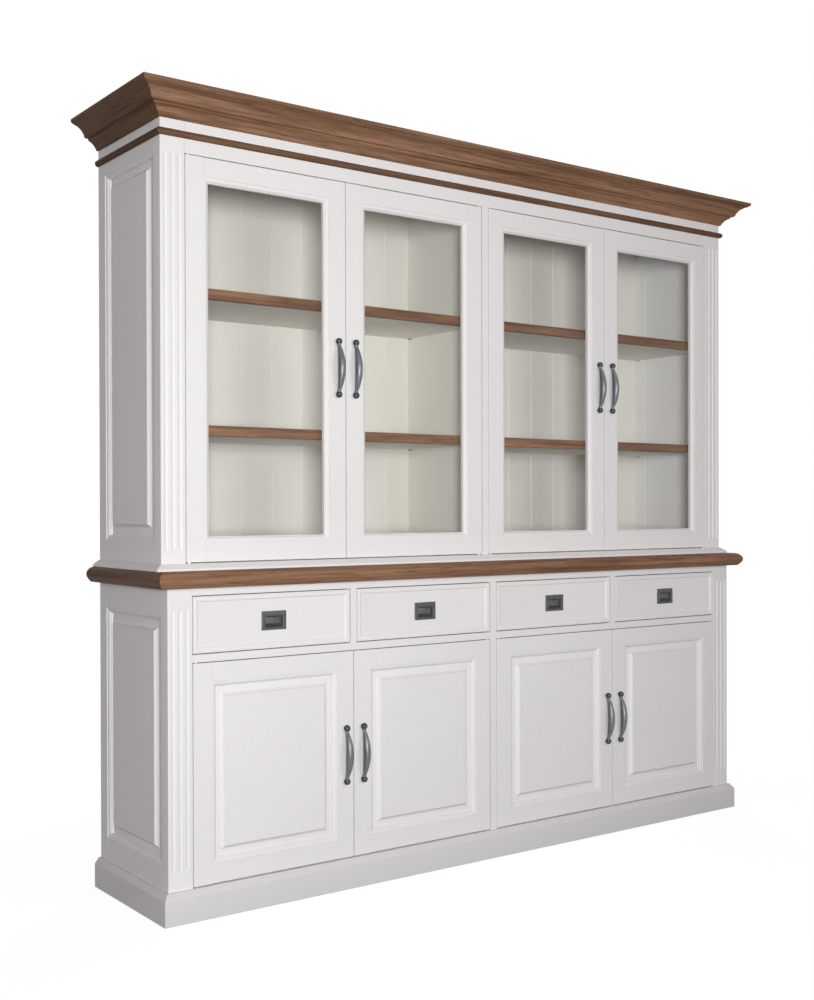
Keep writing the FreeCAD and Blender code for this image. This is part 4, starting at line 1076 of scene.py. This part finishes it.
def tongue_shells(pocket, field, sizes):
    """Tongue: its side outline, a round head, straight faces and a round bar at the foot, carried across
    with the ends drawn in slightly; then the two pins."""
    face = field - sizes.plate_proud
    half_thick = sizes.tongue_thickness / 2
    bar = sizes.bar / 2
    y = face + sizes.tongue_sink + half_thick
    pivot = pocket[3] - sizes.pivot_drop
    head = pivot + sizes.tongue_head - half_thick
    foot = pivot - sizes.tongue_drop + bar
    open_angle = math.asin(half_thick / bar)
    over = np.linspace(0.0, math.pi, TONGUE_HEAD_STEPS)
    under = np.linspace(math.pi / 2 + open_angle, 2.5 * math.pi - open_angle, TONGUE_BAR_STEPS)
    head_arc = np.column_stack([y + half_thick * np.cos(over), head + half_thick * np.sin(over)])
    bar_arc = np.column_stack([y + bar * np.cos(under), foot + bar * np.sin(under)])
    side = np.concatenate([head_arc, bar_arc])
    half = sizes.pocket_width / 2 - sizes.tongue_gap
    middle = (pocket[0] + pocket[1]) / 2
    core = np.array([y, (head + foot) / 2])
    drawn_in = core + (side - core) * np.array(TONGUE_END_SHARES)
    full = half - TONGUE_END_WIDTH
    rows = [np.column_stack([np.full(len(side), middle + x), section]) for x, section in
            ((-half, drawn_in), (-full, side), (full, side), (half, drawn_in))]
    shells = [closed_rows(np.stack(rows))]
    reach = sizes.pocket_width / 2 + sizes.cup_wall - sizes.pin_gap
    for way in (-1.0, 1.0):
        shells.append(pin_shell(sizes.pin, way * (half - PIN_SINK), way * reach, (middle, y, pivot), 0))
    return shells


class HUTCH_OT_pulls(bpy.types.Operator):
    """Flush pulls with their swinging tongues on the drawers"""

    bl_idname = "hutch.pulls"
    bl_label = "Flush pulls"

    def execute(self, context):
        sizes = context.scene.hutch_fittings
        field = LOWER_FRONT + context.scene.hutch_joinery.drawer_sink
        metal = finishes()["dark_pewter"]
        for number in NUMBERS:
            body = f"drawer_{number}"
            plate, pocket = pull_rects(f"{body}_pull", sizes)
            add_piece(f"{body}_flush_pull", pull_shells(plate, pocket, field, sizes), body, metal,
                      [f"{body}_pull"])
            add_piece(f"{body}_tongue", tongue_shells(pocket, field, sizes), f"{body}_bail", metal,
                      [f"{body}_bail"])
        return {"FINISHED"}


# Inside the cases

LIPPING_ROUND = 0.002


class HUTCH_OT_shelves(bpy.types.Operator):
    """Oak edges of the upper shelves"""

    bl_idname = "hutch.shelves"
    bl_label = "Shelf edges"

    def execute(self, context):
        lo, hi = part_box("shelf_lippings")
        height = context.scene.hutch_joinery.lipping_height
        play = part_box("floors_and_top")[1].x - hi.x
        shells = []
        for foot in (lo.z, hi.z - height):
            section = eased([[lo.y, foot], [hi.y, foot], [hi.y, foot + height], [lo.y, foot + height]],
                            np.array([LIPPING_ROUND, 0.0, 0.0, LIPPING_ROUND]))
            shells.append(bar_along_x(section, lo.x, -MID_HALF - play))
        add_piece("oak_shelf_edges", shells + mirrored(shells), "carcass", finishes()["oak_x"],
                  ["shelf_lippings"])
        return {"FINISHED"}


class HUTCH_OT_case_finishes(bpy.types.Operator):
    """Paint, wood, glass and metal on the pieces that keep their CAD shape"""

    bl_idname = "hutch.case_finishes"
    bl_label = "Case finishes"

    def execute(self, context):
        looks = finishes()
        choice = {"face_frames": "paint", "counter_top": "oak_x", "drawer_runners": "raw_y",
                  "hinge_pins": "steel", "shelf_pins": "steel"}
        for node in ("shelves", "back_boards", "floors_and_top", "partitions", "door_stops"):
            choice[node] = "inside_paint"
        for number in NUMBERS:
            choice[f"upper_door_{number}_glass"] = "glass"
            choice[f"drawer_{number}_box"] = "raw_y"
        for node, look in choice.items():
            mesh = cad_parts[node].data
            mesh.materials.clear()
            mesh.materials.append(looks[look])
        return {"FINISHED"}


# Stage

CAMERA_PLACE = (-2.69333, -3.39438, 1.13888)
CAMERA_YAW = math.radians(36.330)
CAMERA_PITCH = math.radians(-0.379)
CAMERA_ROLL = math.radians(-0.140)
SENSOR_WIDTH = 36.0
FOCAL_LENGTH = 45.843
LENS_SHIFT = 0.017
WHITE = (1.0, 1.0, 1.0, 1.0)
FLOOR_RADIUS = 60.0
FLOOR_SIDES = 64
FLOOR_DARK = (0.11, 0.11, 0.11)
FLOOR_PALE = (0.13, 0.13, 0.13)
FLOOR_LIFT = 0.94
FLOOR_OVAL = (0.62, 1.10, 1.0)
SHADOW_REACH = 0.75
WHITE_REACH = 1.75
KEY_PLACE = (-3.10, -4.70, 1.30)
KEY_SIZE = (1.0, 1.0)
FRONT_PLACE = (0.05, -3.40, 1.75)
FRONT_SIZE = (1.1, 1.1)
BACK_PLACE = (2.60, 3.80, 2.60)
BACK_SIZE = (1.5, 1.5)
LAMP_AIM = (-0.30, -0.20, 1.45)


def camera_matrix():
    """Camera axes: forward from yaw and pitch, right level with the floor, then up square to both, and
    right and up turned by the roll."""
    level = math.cos(CAMERA_PITCH)
    forward = np.array([math.sin(CAMERA_YAW) * level, math.cos(CAMERA_YAW) * level,
                        math.sin(CAMERA_PITCH)])
    right = np.cross(forward, (0.0, 0.0, 1.0))
    right = right / np.linalg.norm(right)
    up = np.cross(right, forward)
    across = right * math.cos(CAMERA_ROLL) + up * math.sin(CAMERA_ROLL)
    upward = up * math.cos(CAMERA_ROLL) - right * math.sin(CAMERA_ROLL)
    matrix = np.eye(4)
    matrix[:3, :3] = np.stack([across, upward, -forward], -1)
    matrix[:3, 3] = CAMERA_PLACE
    return Matrix(matrix.tolist())


def seen_rays(tree):
    """One for camera, glossy and transmission rays, nought for the rays that light the object, which are
    those that have met a matt surface."""
    ray = tree.nodes.new("ShaderNodeLightPath")
    total = ray.outputs["Is Camera Ray"]
    for name, operation in (("Is Glossy Ray", "MAXIMUM"), ("Is Transmission Ray", "MAXIMUM"),
                            ("Diffuse Depth", "SUBTRACT")):
        step = tree.nodes.new("ShaderNodeMath")
        step.operation = operation
        step.use_clamp = True
        tree.links.new(total, step.inputs[0])
        tree.links.new(ray.outputs[name], step.inputs[1])
        total = step.outputs[0]
    return total


def floor_finish():
    """Pale matt floor that keeps the shadow near the hutch and turns into the white background away from
    it: the share of white rises smoothly with the distance, measured on an oval round the hutch."""
    finish = Finish("pale_floor")
    tree = finish.tree
    grain = finish.noise(40.0, detail=3.0)
    tone = finish.ramp(grain, [(0.3, FLOOR_DARK), (0.7, FLOOR_PALE)])
    matt = finish.add("BsdfDiffuse", {"Color": tone})
    seen = seen_rays(tree)
    lift = finish.add("Emission", {"Color": WHITE, "Strength": finish.spread(seen, 0.0, FLOOR_LIFT)})
    white = finish.add("Emission", {"Color": WHITE, "Strength": 1.0})
    near = finish.add("AddShader")
    finish.put(near.inputs[0], matt.outputs[0])
    finish.put(near.inputs[1], lift.outputs[0])
    oval = finish.add("Mapping", {"Vector": finish.place, "Scale": FLOOR_OVAL}).outputs[0]
    distance = finish.add("VectorMath", {0: oval}, operation="LENGTH").outputs["Value"]
    away = finish.add("MapRange", {"Value": distance, "From Min": SHADOW_REACH, "From Max": WHITE_REACH},
                      interpolation_type="SMOOTHSTEP")
    share = finish.add("Math", operation="MULTIPLY")
    finish.put(share.inputs[0], away.outputs[0])
    finish.put(share.inputs[1], seen)
    blend = finish.add("MixShader")
    finish.put(blend.inputs[0], share.outputs[0])
    finish.put(blend.inputs[1], near.outputs[0])
    finish.put(blend.inputs[2], white.outputs[0])
    finish.put(tree.nodes["Material Output"].inputs["Surface"], blend.outputs[0])
    return finish.material


def add_lamp(name, power, place, size):
    """Soft rectangular lamp turned towards the hutch."""
    lamp = bpy.data.lights.new(name, "AREA")
    lamp.energy = power
    lamp.shape = "RECTANGLE"
    lamp.size, lamp.size_y = size
    holder = bpy.data.objects.new(name, lamp)
    bpy.context.scene.collection.objects.link(holder)
    aim = Vector(LAMP_AIM) - Vector(place)
    holder.matrix_world = Matrix.Translation(place) @ aim.to_track_quat("-Z", "Y").to_matrix().to_4x4()
    holder.visible_camera = False


def add_floor():
    """Level disc: points on one circle, filled by a single face."""
    angle = np.linspace(0.0, 2 * math.pi, FLOOR_SIDES, endpoint=False)
    ring = np.stack([np.cos(angle), np.sin(angle), np.zeros_like(angle)], -1) * FLOOR_RADIUS
    mesh = bpy.data.meshes.new("floor")
    mesh.from_pydata(ring.tolist(), [], [list(range(len(ring)))])
    mesh.materials.append(floor_finish())
    floor = bpy.data.objects.new("floor", mesh)
    bpy.context.scene.collection.objects.link(floor)


def add_surroundings(ambient):
    """World that is white where it is seen and gives the object an even ambient light."""
    world = bpy.data.worlds.new("surroundings")
    world.use_nodes = True
    tree = world.node_tree
    blend = tree.nodes.new("ShaderNodeMix")
    blend.data_type = "RGBA"
    tree.links.new(seen_rays(tree), blend.inputs[0])
    blend.inputs[6].default_value = (*ambient, 1.0)
    blend.inputs[7].default_value = WHITE
    tree.links.new(blend.outputs[2], tree.nodes["Background"].inputs["Color"])
    bpy.context.scene.world = world


def add_camera():
    """Camera with an upward lens shift and everything in focus."""
    lens = bpy.data.cameras.new("camera")
    lens.sensor_width = SENSOR_WIDTH
    lens.lens = FOCAL_LENGTH
    lens.shift_y = LENS_SHIFT
    lens.clip_end = 2 * FLOOR_RADIUS
    camera = bpy.data.objects.new("camera", lens)
    bpy.context.scene.collection.objects.link(camera)
    camera.matrix_world = camera_matrix()
    bpy.context.scene.camera = camera


class HUTCH_OT_stage(bpy.types.Operator):
    """Pale floor, soft light, white surroundings and the camera"""

    bl_idname = "hutch.stage"
    bl_label = "Stage"

    def execute(self, context):
        tones = context.scene.hutch_finishes
        add_floor()
        add_lamp("key_lamp", tones.key_power, KEY_PLACE, KEY_SIZE)
        add_lamp("front_lamp", tones.front_power, FRONT_PLACE, FRONT_SIZE)
        add_lamp("back_lamp", tones.back_power, BACK_PLACE, BACK_SIZE)
        add_surroundings(tones.ambient)
        context.scene.view_settings.view_transform = "Standard"
        add_camera()
        return {"FINISHED"}


OPERATORS = (HUTCH_OT_mouldings, HUTCH_OT_pilasters, HUTCH_OT_sides, HUTCH_OT_doors, HUTCH_OT_handles,
             HUTCH_OT_drawers, HUTCH_OT_pulls, HUTCH_OT_shelves, HUTCH_OT_case_finishes, HUTCH_OT_stage)
GROUPS = {"hutch_joinery": HutchJoinery, "hutch_fittings": HutchFittings, "hutch_finishes": HutchFinishes}


class HUTCH_PT_panel(bpy.types.Panel):
    """Lists the steps that build the hutch, and their sizes and colours"""

    bl_idname = "HUTCH_PT_panel"
    bl_label = "Hutch"
    bl_space_type = "VIEW_3D"
    bl_region_type = "UI"
    bl_category = "Hutch"

    def draw(self, context):
        for operator in OPERATORS:
            self.layout.operator(operator.bl_idname)
        for name, group in GROUPS.items():
            box = self.layout.box()
            for key in group.__annotations__:
                box.prop(getattr(context.scene, name), key)


def register():
    for group in GROUPS.values():
        bpy.utils.register_class(group)
    for name, group in GROUPS.items():
        setattr(bpy.types.Scene, name, PointerProperty(type=group))
    for operator in OPERATORS:
        bpy.utils.register_class(operator)
    bpy.utils.register_class(HUTCH_PT_panel)


def unregister():
    bpy.utils.unregister_class(HUTCH_PT_panel)
    for operator in reversed(OPERATORS):
        bpy.utils.unregister_class(operator)
    for name, group in GROUPS.items():
        delattr(bpy.types.Scene, name)
        bpy.utils.unregister_class(group)


def main():
    register()
    bpy.ops.hutch.mouldings()
    bpy.ops.hutch.pilasters()
    bpy.ops.hutch.sides()
    bpy.ops.hutch.doors()
    bpy.ops.hutch.handles()
    bpy.ops.hutch.drawers()
    bpy.ops.hutch.pulls()
    bpy.ops.hutch.shelves()
    bpy.ops.hutch.case_finishes()
    bpy.ops.hutch.stage()


if __name__ == "__main__":
    main()
